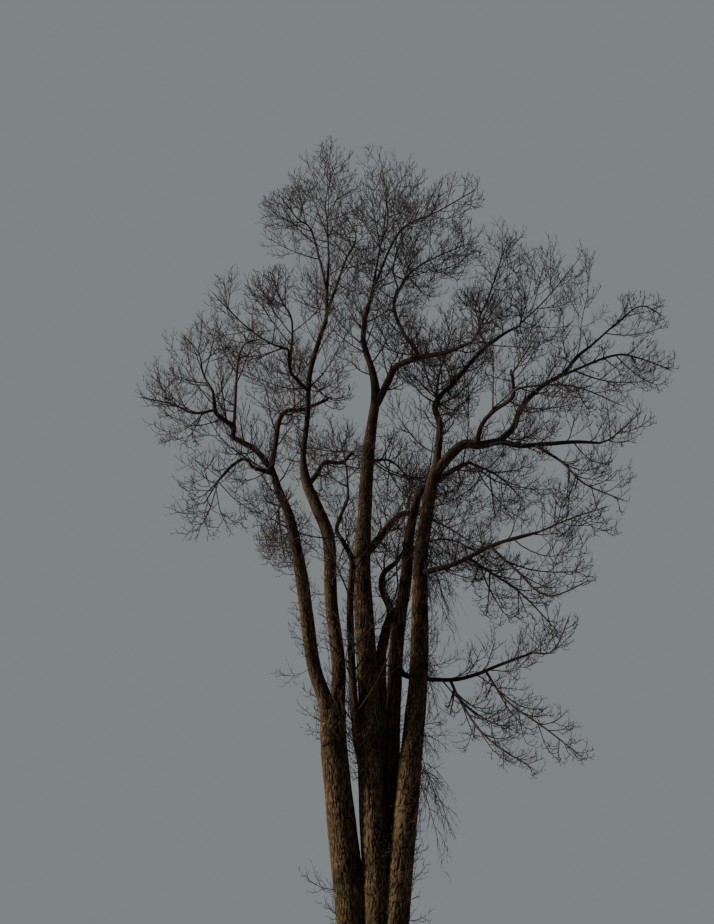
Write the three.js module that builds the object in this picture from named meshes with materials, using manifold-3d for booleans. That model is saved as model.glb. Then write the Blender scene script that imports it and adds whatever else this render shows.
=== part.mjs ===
// Bare winter tree: a tall broad-leaved tree with three stems that rise from one short trunk.
// Millimetres, +Z up, the foot's centre at the origin, -Y towards the viewer of the photograph.
import * as THREE from 'three';
import Module from 'manifold-3d';

const METRE = 1000;
const CLEAR = 0.3; // gap between neighbouring pieces of wood
const CUT_TOLERANCE = 0.05; // slivers thinner than this are smoothed out of a cut piece
const UP = new THREE.Vector3(0, 0, 1);

// Where the photograph was taken from: a little left of the foot, at eye height.
const EYE = new THREE.Vector3(-0.335, -25, 1.6).multiplyScalar(METRE);
const VIEW_DISTANCE = 25 * METRE;

// The short trunk: three lobes, one under each main stem, that run down into a flared foot.
const FORK_HEIGHT = 3.5 * METRE;
const CROTCH_HEIGHT = 3.8 * METRE;
const TRUNK_SIDES = 24;
const LOBES = [
  { across: -430, depth: 140, radius: 275 },
  { across: 80, depth: -40, radius: 255 },
  { across: 465, depth: -150, radius: 245 },
];
const LOBE_BLEND = 5; // a higher power keeps the furrows between the lobes sharper
const LOBE_GATHER = 0.7; // how far the lobes draw in towards the foot
const FOOT_THICKENING = 0.75;
const FLARE_WIDTH = 330;
const FLARE_HEIGHT = 420;
const BUTTRESSES = 7;
const TRUNK_LEVELS = [0, 130, 320, 620, 1100, 1800, 2650, FORK_HEIGHT];

// A limb's route is [across, height, depth] in metres: across and height as seen against an upright
// plane through the foot, and depth how far behind that plane the limb lies (less than 0 is in front).
// The radii in metres are spread evenly over the route, from its foot to its tip.
const STEM_SIDES = 7;
const BOUGH_SIDES = 6;
const LIMBS = {
  left_main_stem: {
    route: [[-0.38, 2.7, 0.13], [-0.46, 3.9, 0.13], [-0.58, 5.1, 0.1], [-0.75, 6.5, 0.03],
      [-0.86, 7.6, -0.05], [-0.88, 8.5, -0.1]],
    radii: [0.27, 0.32, 0.33, 0.3, 0.295, 0.3],
    sides: STEM_SIDES,
  },
  left_stem: {
    route: [[-0.9, 7.5, -0.12], [-1.05, 8.45, -0.2], [-1.35, 9.4, -0.3], [-1.63, 11.3, -0.7],
      [-1.85, 12.47, -1.0], [-2.01, 13.14, -1.15], [-2.31, 13.88, -1.3], [-2.5, 14.5, -1.45]],
    radii: [0.17, 0.16, 0.155, 0.12, 0.1, 0.08],
    sides: STEM_SIDES,
  },
  left_middle_stem: {
    route: [[-0.82, 7.5, 0], [-0.77, 8.5, 0.1], [-0.77, 9.45, 0.15], [-0.95, 10.9, 0.25],
      [-1.02, 12.45, 0.3], [-1.32, 13.33, 0.35], [-1.6, 14.05, 0.4], [-1.7, 14.8, 0.4],
      [-1.62, 15.85, 0.35], [-1.58, 17.2, 0.3], [-1.35, 18.3, 0.2], [-1.17, 19, 0.2],
      [-1.16, 19.95, 0.2], [-1.12, 21.05, 0.1]],
    radii: [0.2, 0.17, 0.16, 0.155, 0.155, 0.15, 0.13, 0.075, 0.07, 0.068, 0.064, 0.055, 0.045, 0.035],
    sides: BOUGH_SIDES,
  },
  centre_stem: {
    route: [[0.07, 2.7, -0.04], [0.08, 3.9, -0.05], [0.04, 5.1, -0.02], [-0.05, 7.16, 0.07],
      [-0.06, 8.5, 0.11], [-0.19, 10.9, 0.1], [-0.21, 11.95, 0.1], [-0.14, 13.3, 0.1],
      [-0.06, 14.65, 0.05], [0.05, 15.7, 0], [0.15, 16.5, 0], [0.09, 17.2, 0], [-0.1, 17.95, -0.05],
      [-0.17, 18.4, -0.1], [-0.09, 19.1, -0.1], [0.1, 19.95, -0.1], [0.19, 20.6, -0.1]],
    radii: [0.25, 0.28, 0.29, 0.26, 0.235, 0.21, 0.18, 0.16, 0.13, 0.12, 0.085, 0.075, 0.065, 0.05, 0.04],
    sides: STEM_SIDES,
  },
  slim_stem: {
    route: [[-0.1, 6.5, 0.1], [-0.33, 7.6, -0.2], [-0.4, 8.5, -0.3], [-0.46, 9.45, -0.35],
      [-0.5, 10.9, -0.4], [-0.45, 11.9, -0.6], [-0.66, 12.4, -1.1], [-0.83, 12.8, -1.8],
      [-0.55, 13.6, -2.9]],
    radii: [0.095, 0.09, 0.085, 0.075, 0.05, 0.035],
    sides: BOUGH_SIDES,
  },
  right_stem: {
    route: [[0.39, 2.7, -0.14], [0.5, 3.9, -0.15], [0.62, 5.1, -0.13], [0.81, 6.75, -0.07],
      [0.95, 7.95, -0.02], [1.09, 9.2, 0], [1.16, 10.9, -0.05], [1.21, 11.95, -0.2], [1.36, 13, -0.3],
      [1.51, 13.85, -0.4], [1.66, 14.5, -0.4]],
    radii: [0.24, 0.265, 0.26, 0.235, 0.2, 0.165, 0.155, 0.14],
    sides: STEM_SIDES,
  },
  right_leader: {
    route: [[1.64, 14.3, -0.4], [1.76, 15.25, -0.3], [1.8, 15.7, -0.2], [1.69, 16.2, -0.1],
      [1.83, 16.55, 0], [2.24, 17, 0.2], [2.94, 17.9, 0.6], [3.62, 18.5, 1], [4.05, 18.75, 1.3]],
    radii: [0.1, 0.09, 0.08, 0.06, 0.045, 0.035],
    sides: BOUGH_SIDES,
  },
  right_middle_stem: {
    route: [[0.27, 3.9, 0.12], [0.37, 5.3, 0.24], [0.44, 7.1, 0.45], [0.5, 8.5, 0.5],
      [0.63, 10.2, 0.6], [0.84, 11.45, 0.75], [0.93, 12.5, 0.85], [1.1, 13.35, 0.9], [1.26, 13.8, 0.95],
      [1.75, 14.15, 1], [2.2, 14.45, 1.4], [2.5, 14.6, 1.8]],
    radii: [0.19, 0.185, 0.175, 0.165, 0.14, 0.11, 0.09, 0.07, 0.05],
    sides: BOUGH_SIDES,
  },
  left_bough: {
    route: [[-2.49, 14.4, -1.45], [-2.9, 14.95, -1.7], [-3.3, 15.2, -1.9], [-3.5, 15.35, -2],
      [-3.5, 15.65, -2.1], [-3.71, 15.8, -2.3], [-3.98, 16.05, -2.5], [-4.05, 16.4, -2.6],
      [-4.1, 16.7, -2.7]],
    radii: [0.075, 0.065, 0.06, 0.05, 0.04],
    sides: BOUGH_SIDES,
  },
  hanging_left_branch: {
    route: [[-2.47, 14.3, -1.4], [-2.93, 14.45, -1.8], [-3.17, 14.7, -2.2], [-3.49, 14.5, -2.8],
      [-3.8, 14.1, -3.3]],
    radii: [0.045, 0.04, 0.03],
    sides: BOUGH_SIDES,
  },
  hook_bough: {
    route: [[-2.5, 14.4, -1.4], [-2.42, 15.1, -1], [-2.34, 15.8, -0.3], [-2.15, 16.1, 0.3],
      [-1.73, 16.15, 1], [-1.1, 16.45, 2.2]],
    radii: [0.07, 0.06, 0.045],
    sides: BOUGH_SIDES,
  },
  left_high_bough: {
    route: [[-1.6, 16.7, 0.3], [-1.91, 17.05, 0], [-2.1, 17.35, -0.3], [-2.17, 18, -0.6]],
    radii: [0.05, 0.045, 0.04],
    sides: BOUGH_SIDES,
  },
  burr_bough: {
    route: [[-1.6, 13.9, 0.4], [-1.36, 14.25, 1], [-1.14, 14.6, 1.8], [-0.71, 14.6, 2.6],
      [-0.46, 14.9, 3.2]],
    radii: [0.07, 0.06, 0.045],
    sides: BOUGH_SIDES,
  },
  centre_right_bough: {
    route: [[0.18, 16.3, 0], [0.48, 17, -0.2], [0.7, 17.45, -0.5], [1.29, 17.73, -1],
      [2, 17.9, -1.6], [2.74, 18.24, -2.2]],
    radii: [0.1, 0.09, 0.065, 0.045],
    sides: BOUGH_SIDES,
  },
  centre_rising_bough: {
    route: [[1.25, 17.7, -1], [1.22, 18, -0.9], [0.95, 18.45, -0.6], [0.75, 18.95, -0.3],
      [0.67, 19.5, 0], [0.79, 20, 0.2]],
    radii: [0.055, 0.05, 0.035],
    sides: BOUGH_SIDES,
  },
  twisted_bough: {
    route: [[0.09, 6.2, 0.18], [0.2, 7.3, 0.3], [0.22, 8.5, 0.25], [0.22, 9.5, 0.2],
      [0.34, 10.15, 0.2], [0.46, 10.65, 0.25], [0.27, 11.2, 0.4], [0.31, 11.6, 0.7], [0.62, 11.9, 1.2],
      [0.8, 12.2, 1.7]],
    radii: [0.1, 0.13, 0.13, 0.125, 0.115, 0.1, 0.085, 0.07, 0.055, 0.04],
    sides: BOUGH_SIDES,
  },
  centre_inner_bough: {
    route: [[-0.15, 12.1, 0.1], [0.2, 12.5, 0.7], [0.45, 12.85, 1.5], [0.75, 13.15, 2.5],
      [1.1, 13.2, 3.4]],
    radii: [0.1, 0.085, 0.06],
    sides: BOUGH_SIDES,
  },
  great_right_bough: {
    route: [[1.64, 14.3, -0.4], [2.02, 14.8, -0.5], [2.4, 15.13, -0.6], [2.8, 15.1, -0.7],
      [3.3, 15.2, -0.8], [3.81, 15.08, -0.9], [4.46, 15.13, -1], [5.23, 15.19, -1.2],
      [5.86, 15.16, -1.4]],
    radii: [0.13, 0.12, 0.1, 0.065, 0.05, 0.035],
    sides: BOUGH_SIDES,
  },
  right_high_reach: {
    route: [[3.25, 15.18, -0.8], [3.67, 15.6, -0.6], [3.86, 16.07, -0.3], [4.09, 16.43, 0],
      [4.6, 16.92, 0.5], [5.09, 17.23, 0.9], [5.51, 17.76, 1.3], [5.95, 18.14, 1.6]],
    radii: [0.085, 0.07, 0.055, 0.04],
    sides: BOUGH_SIDES,
  },
  right_inner_bough: {
    route: [[2.7, 15.12, -0.7], [2.88, 15.7, -1.1], [3.2, 16.1, -1.5], [3.7, 16.5, -2],
      [3.76, 16.95, -2.3], [3.73, 17.35, -2.6]],
    radii: [0.06, 0.05, 0.035],
    sides: BOUGH_SIDES,
  },
  sweeping_bough: {
    route: [[1.2, 11.6, -0.2], [1.91, 11.8, -0.6], [2.35, 12, -0.9], [2.9, 12.3, -1.3],
      [3.45, 12.5, -1.7], [4.15, 12.7, -2.1]],
    radii: [0.06, 0.05, 0.03],
    sides: BOUGH_SIDES,
  },
  low_right_bough: {
    route: [[0.58, 9.3, 0.55], [0.88, 9.05, 0.5], [1.8, 8.98, 0.2], [2.38, 9.1, 0],
      [2.9, 9.31, -0.3], [3.73, 9.62, -0.9]],
    radii: [0.06, 0.05, 0.04, 0.03],
    sides: BOUGH_SIDES,
  },
};

// A mass of twigs: the limb it grows on, how far along that limb its stem starts (1 is the tip), the way
// of that stem written like a route, to the far end of its space, and that space's half width in metres.
// sag bends its twigs down as they leave the stem, and lift turns their tips up again.
const MASSES = {
  far_left_twigs: {
    limb: 'left_bough', at: 0.78, way: [[-4.58, 16.04, -2.6], [-5.14, 16.31, -2.7], [-6.15, 16.55, -2.9]],
    width: 1.7, sag: 0.1, lift: 0.3,
  },
  left_fan_twigs: {
    limb: 'left_bough', at: 1, way: [[-4.39, 17.23, -2.73], [-4.57, 17.92, -2.77], [-5.1, 18.56, -2.8]],
    width: 1.3, sag: 0, lift: 0.3,
  },
  left_inner_twigs: {
    limb: 'left_bough', at: 0.5, way: [[-3.45, 17.92, -1.97], [-2.88, 18.36, -1.9]],
    width: 1.2, sag: 0, lift: 0.3,
  },
  hanging_left_twigs: {
    limb: 'hanging_left_branch', at: 1, way: [[-3.86, 13.99, -3.95], [-4.15, 13.39, -4.6]],
    width: 1.2, sag: 0.4, lift: 0.1,
  },
  high_left_twigs: {
    limb: 'left_high_bough', at: 1, way: [[-2.72, 18.24, -1], [-3.44, 18.85, -1.3], [-4.49, 20.08, -1.6]],
    width: 1.5, sag: 0, lift: 0.3,
  },
  upper_left_twigs: {
    limb: 'left_high_bough', at: 0.7, way: [[-2.09, 18.88, -1], [-2.41, 19.61, -1.5], [-2.81, 20.69, -2]],
    width: 1.4, sag: 0, lift: 0.3,
  },
  left_crest_twigs: {
    limb: 'left_middle_stem', at: 0.92,
    way: [[-1.61, 21.95, -0.3], [-2.05, 22.46, -0.9], [-2.65, 23.42, -1.6]], width: 1.6, sag: 0, lift: 0.3,
  },
  left_top_twigs: {
    limb: 'left_middle_stem', at: 1, way: [[-1.19, 22.35, 0.1], [-1.23, 23.19, 0.15], [-0.9, 24.78, 0.2]],
    width: 1.5, sag: 0, lift: 0.3,
  },
  left_back_twigs: {
    limb: 'left_stem', at: 0.75, way: [[-2.1, 12, 3.4]],
    width: 0.85, sag: 0.1, lift: 0.4,
  },
  middle_crest_twigs: {
    limb: 'left_middle_stem', at: 0.86, way: [[-0.67, 20.9, 0.5], [-0.36, 21.74, 1], [-0.53, 22.31, 1.7]],
    width: 1.3, sag: 0, lift: 0.3,
  },
  hook_twigs: { limb: 'hook_bough', at: 1, way: [[-2.6, 17.4, 4.4]], width: 1.5, sag: 0.1, lift: 0.4 },
  burr_twigs: { limb: 'burr_bough', at: 1, way: [[-1.7, 14.6, 5.6]], width: 1.6, sag: 0.2, lift: 0.3 },
  front_slim_twigs: {
    limb: 'slim_stem', at: 1, way: [[-0.85, 15.6, -3.6]],
    width: 0.9, sag: 0.1, lift: 0.4,
  },
  centre_top_twigs: {
    limb: 'centre_stem', at: 1, way: [[0.34, 21.56, -0.05], [0.55, 22.53, 0], [0.34, 24.86, 0]],
    width: 1.5, sag: 0, lift: 0.3,
  },
  centre_crest_twigs: {
    limb: 'centre_stem', at: 0.94, way: [[0.88, 21.99, -0.5], [1.95, 22.68, -1.1], [3.29, 23.64, -1.8]],
    width: 1.05, sag: 0.1, lift: 0.4,
  },
  rising_twigs: {
    limb: 'centre_rising_bough', at: 1, way: [[0.67, 20.69, 0.6], [0.93, 21.67, 1.3], [1.42, 22.9, 2.2]],
    width: 1.3, sag: 0, lift: 0.3,
  },
  upper_right_twigs: {
    limb: 'centre_rising_bough', at: 0.8, way: [[0.99, 20.31, 0.3], [1.59, 20.9, 1], [3.02, 21.67, 1.9]],
    width: 1.5, sag: 0, lift: 0.4,
  },
  front_right_twigs: {
    limb: 'centre_right_bough', at: 1, way: [[2.92, 18.62, -2.55], [3.43, 19.87, -2.9]],
    width: 1.4, sag: 0, lift: 0.4,
  },
  middle_back_twigs: {
    limb: 'centre_stem', at: 0.5, way: [[1.5, 13.2, 4.2]],
    width: 1.4, sag: 0.1, lift: 0.4,
  },
  right_crest_twigs: {
    limb: 'right_leader', at: 0.78, way: [[2.96, 18.88, 0.8], [3.32, 19.87, 1.3], [4, 21.95, 2]],
    width: 1.3, sag: 0, lift: 0.3,
  },
  right_top_twigs: {
    limb: 'right_leader', at: 1, way: [[4.13, 18.88, 1.33], [4.86, 19.67, 1.37], [5.89, 21.04, 1.4]],
    width: 1.5, sag: 0, lift: 0.4,
  },
  right_back_twigs: {
    limb: 'right_leader', at: 0.35, way: [[1.85, 17.29, 1], [2.37, 18.88, 2.2]],
    width: 1.3, sag: 0.1, lift: 0.4,
  },
  far_right_twigs: {
    limb: 'right_high_reach', at: 1, way: [[6.72, 18.88, 1.63], [7.43, 19.41, 1.67], [8.04, 19.01, 1.7]],
    width: 1.15, sag: 0, lift: 0.3,
  },
  outer_right_twigs: {
    limb: 'right_high_reach', at: 0.66, way: [[6.42, 17.79, 0.6], [7.13, 17.73, 0.5], [8.08, 17.29, 0.4]],
    width: 1, sag: 0.1, lift: 0.3,
  },
  inner_right_twigs: {
    limb: 'right_inner_bough', at: 1, way: [[3.78, 17.29, -2.9], [4.59, 18.62, -3.2]],
    width: 1.4, sag: 0, lift: 0.4,
  },
  front_reach_twigs: {
    limb: 'right_inner_bough', at: 0.6, way: [[3.93, 16.8, -2.3], [5.3, 16.86, -2.6], [6.69, 16.19, -2.9]],
    width: 1.4, sag: 0.2, lift: 0.3,
  },
  long_right_twigs: {
    limb: 'great_right_bough', at: 1, way: [[6.24, 15.36, -1.6], [7.13, 16.19, -1.8]],
    width: 1.2, sag: 0.1, lift: 0.4,
  },
  drooping_right_twigs: {
    limb: 'great_right_bough', at: 0.7, way: [[4.85, 14.61, -1.27], [5.37, 13.99, -1.43], [6.39, 13.5, -1.6]],
    width: 1, sag: 0.4, lift: 0.2,
  },
  inner_back_twigs: {
    limb: 'right_middle_stem', at: 1, way: [[3.9, 13.4, 4.4]],
    width: 1.5, sag: 0.3, lift: 0.2,
  },
  back_twigs: {
    limb: 'centre_inner_bough', at: 1, way: [[2.6, 12.3, 5.8]],
    width: 1.6, sag: 0.2, lift: 0.3,
  },
  low_back_twigs: {
    limb: 'twisted_bough', at: 1, way: [[1.98, 12.47, 2.4], [3.29, 11.58, 3.2]],
    width: 1.3, sag: 0.2, lift: 0.4,
  },
  sweeping_twigs: {
    limb: 'sweeping_bough', at: 1, way: [[4.96, 13.06, -2.5], [5.98, 13.41, -2.9]],
    width: 1.2, sag: 0.3, lift: 0.3,
  },
  level_right_twigs: {
    limb: 'sweeping_bough', at: 0.4, way: [[2.86, 11.63, -0.2], [3.59, 11.07, 0.1], [4.41, 10.08, 0.4]],
    width: 0.95, sag: 0.3, lift: 0.2,
  },
  arching_twigs: {
    limb: 'sweeping_bough', at: 0.6, way: [[3.49, 11.69, -1.77], [4.21, 11.02, -2.03], [5.35, 11.48, -2.3]],
    width: 0.8, sag: 0.4, lift: 0.1,
  },
  low_rising_twigs: {
    limb: 'low_right_bough', at: 1, way: [[4.24, 9.69, -1.15], [4.72, 10.62, -1.4]],
    width: 0.85, sag: 0.1, lift: 0.4,
  },
  low_outer_twigs: {
    limb: 'low_right_bough', at: 0.7, way: [[3.05, 8.51, -0.7], [3.89, 7.87, -0.95], [4.79, 7.12, -1.2]],
    width: 0.58, sag: 0.4, lift: 0.1,
  },
  low_inner_twigs: {
    limb: 'low_right_bough', at: 0.4, way: [[2.05, 8.42, -0.4], [2.58, 7.65, -0.7], [3.72, 6.86, -1]],
    width: 0.62, sag: 0.5, lift: 0.1,
  },
};
const BEND = 0.12; // how far a stem with no middle point bows the way its limb is heading
const STEM_SEGMENTS = 6;
const STEM_FOOT_RADIUS = 42; // the thickest that a mass's stem may be
const STEM_TIP_RADIUS = 11;
const TWIG_SEGMENTS = 2;
const TWIG_SIDES = 3;
const TWIG_TIP_RADIUS = 5;
const TWIG_PER_METRE = 3.4; // side twigs for each metre of a mass's stem
const TWIG_LIMB_GAP = 40;
const LEAST_TWIG = 0.35; // of a mass's half width
const SPACE_GAP = 0.05; // of a mass's half width, kept free along its border with the next mass
const GOLDEN_ANGLE = 2.39996;

const BARK = new THREE.MeshStandardMaterial({ color: '#5a4a3c', roughness: 0.92, metalness: 0 });
const TWIG_BARK = new THREE.MeshStandardMaterial({ color: '#4c423b', roughness: 0.85, metalness: 0 });

const wasm = await Module();
wasm.setup();

// A repeatable number from 0 to 1 for each pair of whole numbers.
function chance(seed, draw) {
  const wave = Math.sin(seed * 12.9898 + draw * 78.233) * 43758.5453;
  return wave - Math.floor(wave);
}

// A route point carried along the line of sight to its depth, so that it still looks to be in its place.
function alongSight([across, height, depth]) {
  const point = new THREE.Vector3(across, 0, height).multiplyScalar(METRE);
  return point.sub(EYE).multiplyScalar((VIEW_DISTANCE + depth * METRE) / VIEW_DISTANCE).add(EYE);
}

// A smooth curve through the points, at t from 0 to 1.
function onCurve(points, t) {
  const last = points.length - 1;
  const span = Math.min(Math.floor(t * last), last - 1);
  const s = t * last - span;
  const b = points[span];
  const c = points[span + 1];
  const a = points[span - 1] ?? b.clone().multiplyScalar(2).sub(c);
  const d = points[span + 2] ?? c.clone().multiplyScalar(2).sub(b);
  return new THREE.Vector3()
    .addScaledVector(a, (-s + 2 * s * s - s ** 3) / 2)
    .addScaledVector(b, (2 - 5 * s * s + 3 * s ** 3) / 2)
    .addScaledVector(c, (s + 4 * s * s - 3 * s ** 3) / 2)
    .addScaledVector(d, (s ** 3 - s * s) / 2);
}

// The value at t in a list of values spread evenly from 0 to 1.
function spread(values, t) {
  const place = t * (values.length - 1);
  const low = Math.min(Math.floor(place), values.length - 2);
  return values[low] + (values[low + 1] - values[low]) * (place - low);
}

// The directions of a line of points, each the mean of the steps before and after it.
function headings(line) {
  return line.map((_, i) => {
    const before = line[Math.max(i - 1, 0)];
    const after = line[Math.min(i + 1, line.length - 1)];
    return after.clone().sub(before).normalize();
  });
}

// Rings of corners closed into one body: each ring joined to the next, and a flat cap at both ends.
function skin(rings) {
  const sides = rings[0].length;
  const corners = rings.flat();
  const faces = [];
  for (let ring = 0; ring < rings.length - 1; ring++) {
    for (let side = 0; side < sides; side++) {
      const here = ring * sides + side;
      const beside = ring * sides + ((side + 1) % sides);
      faces.push(here, beside, beside + sides, here, beside + sides, here + sides);
    }
  }
  const end = (rings.length - 1) * sides;
  for (let side = 1; side < sides - 1; side++) {
    faces.push(0, side + 1, side);
    faces.push(end, end + side, end + side + 1);
  }
  const mesh = new wasm.Mesh({
    numProp: 3,
    vertProperties: new Float32Array(corners.flatMap((corner) => [corner.x, corner.y, corner.z])),
    triVerts: new Uint32Array(faces),
  });
  return new wasm.Manifold(mesh);
}

// A round rod along a line of points. Its rings turn as little as they can from one to the next.
function rod(line, radii, sides) {
  const ahead = headings(line);
  const start = Math.abs(ahead[0].z) < 0.9 ? UP : new THREE.Vector3(1, 0, 0);
  let side = new THREE.Vector3().crossVectors(ahead[0], start).normalize();
  const rings = line.map((point, i) => {
    side = side.addScaledVector(ahead[i], -side.dot(ahead[i])).normalize();
    const other = new THREE.Vector3().crossVectors(ahead[i], side);
    return Array.from({ length: sides }, (_, corner) => {
      const turn = (2 * Math.PI * corner) / sides;
      return point
        .clone()
        .addScaledVector(side, Math.cos(turn) * radii[i])
        .addScaledVector(other, Math.sin(turn) * radii[i]);
    });
  });
  return skin(rings);
}

// How far the trunk reaches from its axis at a height and in a direction, its three lobes blended.
function trunkReach(height, turn) {
  const rise = Math.min(height / FORK_HEIGHT, 1);
  const gather = 1 - LOBE_GATHER * (1 - rise);
  const swell = 1 + FOOT_THICKENING * (1 - rise) ** 1.8;
  let sum = 0;
  for (const lobe of LOBES) {
    const forward = gather * (lobe.across * Math.cos(turn) + lobe.depth * Math.sin(turn));
    const aside = gather * (lobe.depth * Math.cos(turn) - lobe.across * Math.sin(turn));
    const half = (lobe.radius * swell) ** 2 - aside ** 2;
    sum += half > 0 ? Math.max(forward + Math.sqrt(half), 0) ** LOBE_BLEND : 0;
  }
  const buttress = (0.5 + 0.5 * Math.sin(BUTTRESSES * turn + 0.8)) * (0.75 + 0.25 * Math.sin(2 * turn));
  const flare = FLARE_WIDTH * Math.exp(-height / FLARE_HEIGHT) * (0.35 + 0.65 * buttress);
  return sum ** (1 / LOBE_BLEND) + flare;
}

// The trunk, from its flat cut at the ground to the low crotch between the three stems.
function trunkBody(grow) {
  const ring = (height, share, top) =>
    Array.from({ length: TRUNK_SIDES }, (_, corner) => {
      const turn = (2 * Math.PI * corner) / TRUNK_SIDES;
      const reach = (trunkReach(height, turn) + grow) * share;
      return new THREE.Vector3(Math.cos(turn) * reach, Math.sin(turn) * reach, top);
    });
  const rings = TRUNK_LEVELS.map((height) => ring(height, 1, height));
  rings.push(ring(FORK_HEIGHT, 0.5, CROTCH_HEIGHT + grow));
  return skin(rings);
}

// A limb's centre line and radii, evenly stepped from its foot to its tip.
function limbLine({ route, radii }) {
  const points = route.map(alongSight);
  const steps = route.length - 1;
  const shares = Array.from({ length: steps + 1 }, (_, i) => i / steps);
  return {
    line: shares.map((t) => onCurve(points, t)),
    radii: shares.map((t) => spread(radii, t) * METRE),
  };
}

const BODIES = { trunk: trunkBody };
const LINES = {};
for (const [name, limb] of Object.entries(LIMBS)) {
  const { line, radii } = limbLine(limb);
  LINES[name] = { line, radii };
  BODIES[name] = (grow) => {
    const ahead = headings(line);
    const ends = [line[0].clone().addScaledVector(ahead[0], -grow)];
    ends.push(...line.slice(1, -1));
    ends.push(line.at(-1).clone().addScaledVector(ahead.at(-1), grow));
    return rod(ends, radii.map((radius) => radius + grow), limb.sides);
  };
}

function boxesMeet(one, two) {
  return [0, 1, 2].every((axis) => one.min[axis] <= two.max[axis] && two.min[axis] <= one.max[axis]);
}

// The largest piece of a body once every grown body that it meets is cut away from it.
function cutClear(body, grownOnes) {
  let left = body;
  for (const grown of grownOnes) {
    if (boxesMeet(left.boundingBox(), grown.boundingBox())) left = left.subtract(grown);
  }
  const pieces = left.simplify(CUT_TOLERANCE).decompose();
  return pieces.reduce((best, piece) => (piece.volume() > best.volume() ? piece : best));
}

function nearestOnSegment(point, from, to) {
  const along = to.clone().sub(from);
  const share = point.clone().sub(from).dot(along) / along.lengthSq();
  return from.clone().addScaledVector(along, Math.min(Math.max(share, 0), 1));
}

// A mass's stem leaves its limb and curves along its way to the far end of the mass's space.
function massSpace(name, mass, index) {
  const { line, radii } = LINES[mass.limb];
  const start = onCurve(line, mass.at);
  const before = onCurve(line, Math.max(mass.at - 0.08, 0));
  const way = mass.way.map(alongSight);
  const end = way.at(-1);
  const length = start.distanceTo(end);
  if (way.length === 1) {
    const onwards = start.clone().sub(before).normalize();
    way.unshift(start.clone().lerp(end, 0.4).addScaledVector(onwards, BEND * length));
  }
  return {
    ...mass,
    name,
    seed: 100 * (index + 1),
    start,
    end,
    length,
    axis: end.clone().sub(start).normalize(),
    middle: start.clone().lerp(end, 0.52),
    half: 0.52 * length,
    width: mass.width * METRE,
    radius: Math.min(0.78 * spread(radii, mass.at), STEM_FOOT_RADIUS),
    stem: (s) => onCurve([start, ...way], s),
  };
}

const SPACES = Object.entries(MASSES).map(([name, mass], index) => massSpace(name, mass, index));

// How far out a point lies in a mass's barrel-shaped space with rounded ends: less than 1 is inside.
function outness(space, point) {
  const from = point.clone().sub(space.middle);
  const along = from.dot(space.axis);
  const across = from.addScaledVector(space.axis, -along).length();
  return Math.hypot((along / space.half) ** 2, across / space.width);
}

function share(space, point) {
  return point.distanceTo(nearestOnSegment(point, space.start, space.end)) / space.width;
}

// Whether a point belongs to this mass: inside its space, and nearer to it than to any other mass.
function belongs(space, point) {
  if (outness(space, point) > 1) return false;
  const own = share(space, point);
  return SPACES.every((other) => other === space || own + SPACE_GAP < share(other, point));
}

const OBSTACLES = Object.values(LINES).flatMap(({ line, radii }) =>
  line.slice(1).map((to, i) => ({ from: line[i], to, reach: Math.max(radii[i], radii[i + 1]) })),
);
for (const space of SPACES) {
  const line = Array.from({ length: STEM_SEGMENTS + 1 }, (_, i) => space.stem(i / STEM_SEGMENTS));
  space.line = line;
  for (let i = 0; i < STEM_SEGMENTS; i++) {
    OBSTACLES.push({ from: line[i], to: line[i + 1], reach: space.radius, owner: space });
  }
}

function touchesLimb(space, point) {
  return OBSTACLES.some(
    ({ from, to, reach, owner }) =>
      owner !== space && point.distanceTo(nearestOnSegment(point, from, to)) < reach + TWIG_LIMB_GAP,
  );
}

// A twig's line: straight on as it leaves, sagging a little and turning up towards its tip, with a slow
// sideways wave.
function twigPoint({ origin, heading, aside, length, sag, lift, wave, phase }, s) {
  return origin
    .clone()
    .addScaledVector(heading, length * s)
    .addScaledVector(aside, length * wave * (Math.sin(4.4 * s + phase) - Math.sin(phase)))
    .addScaledVector(UP, length * ((sag + lift) * s * s - sag * s));
}

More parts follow.
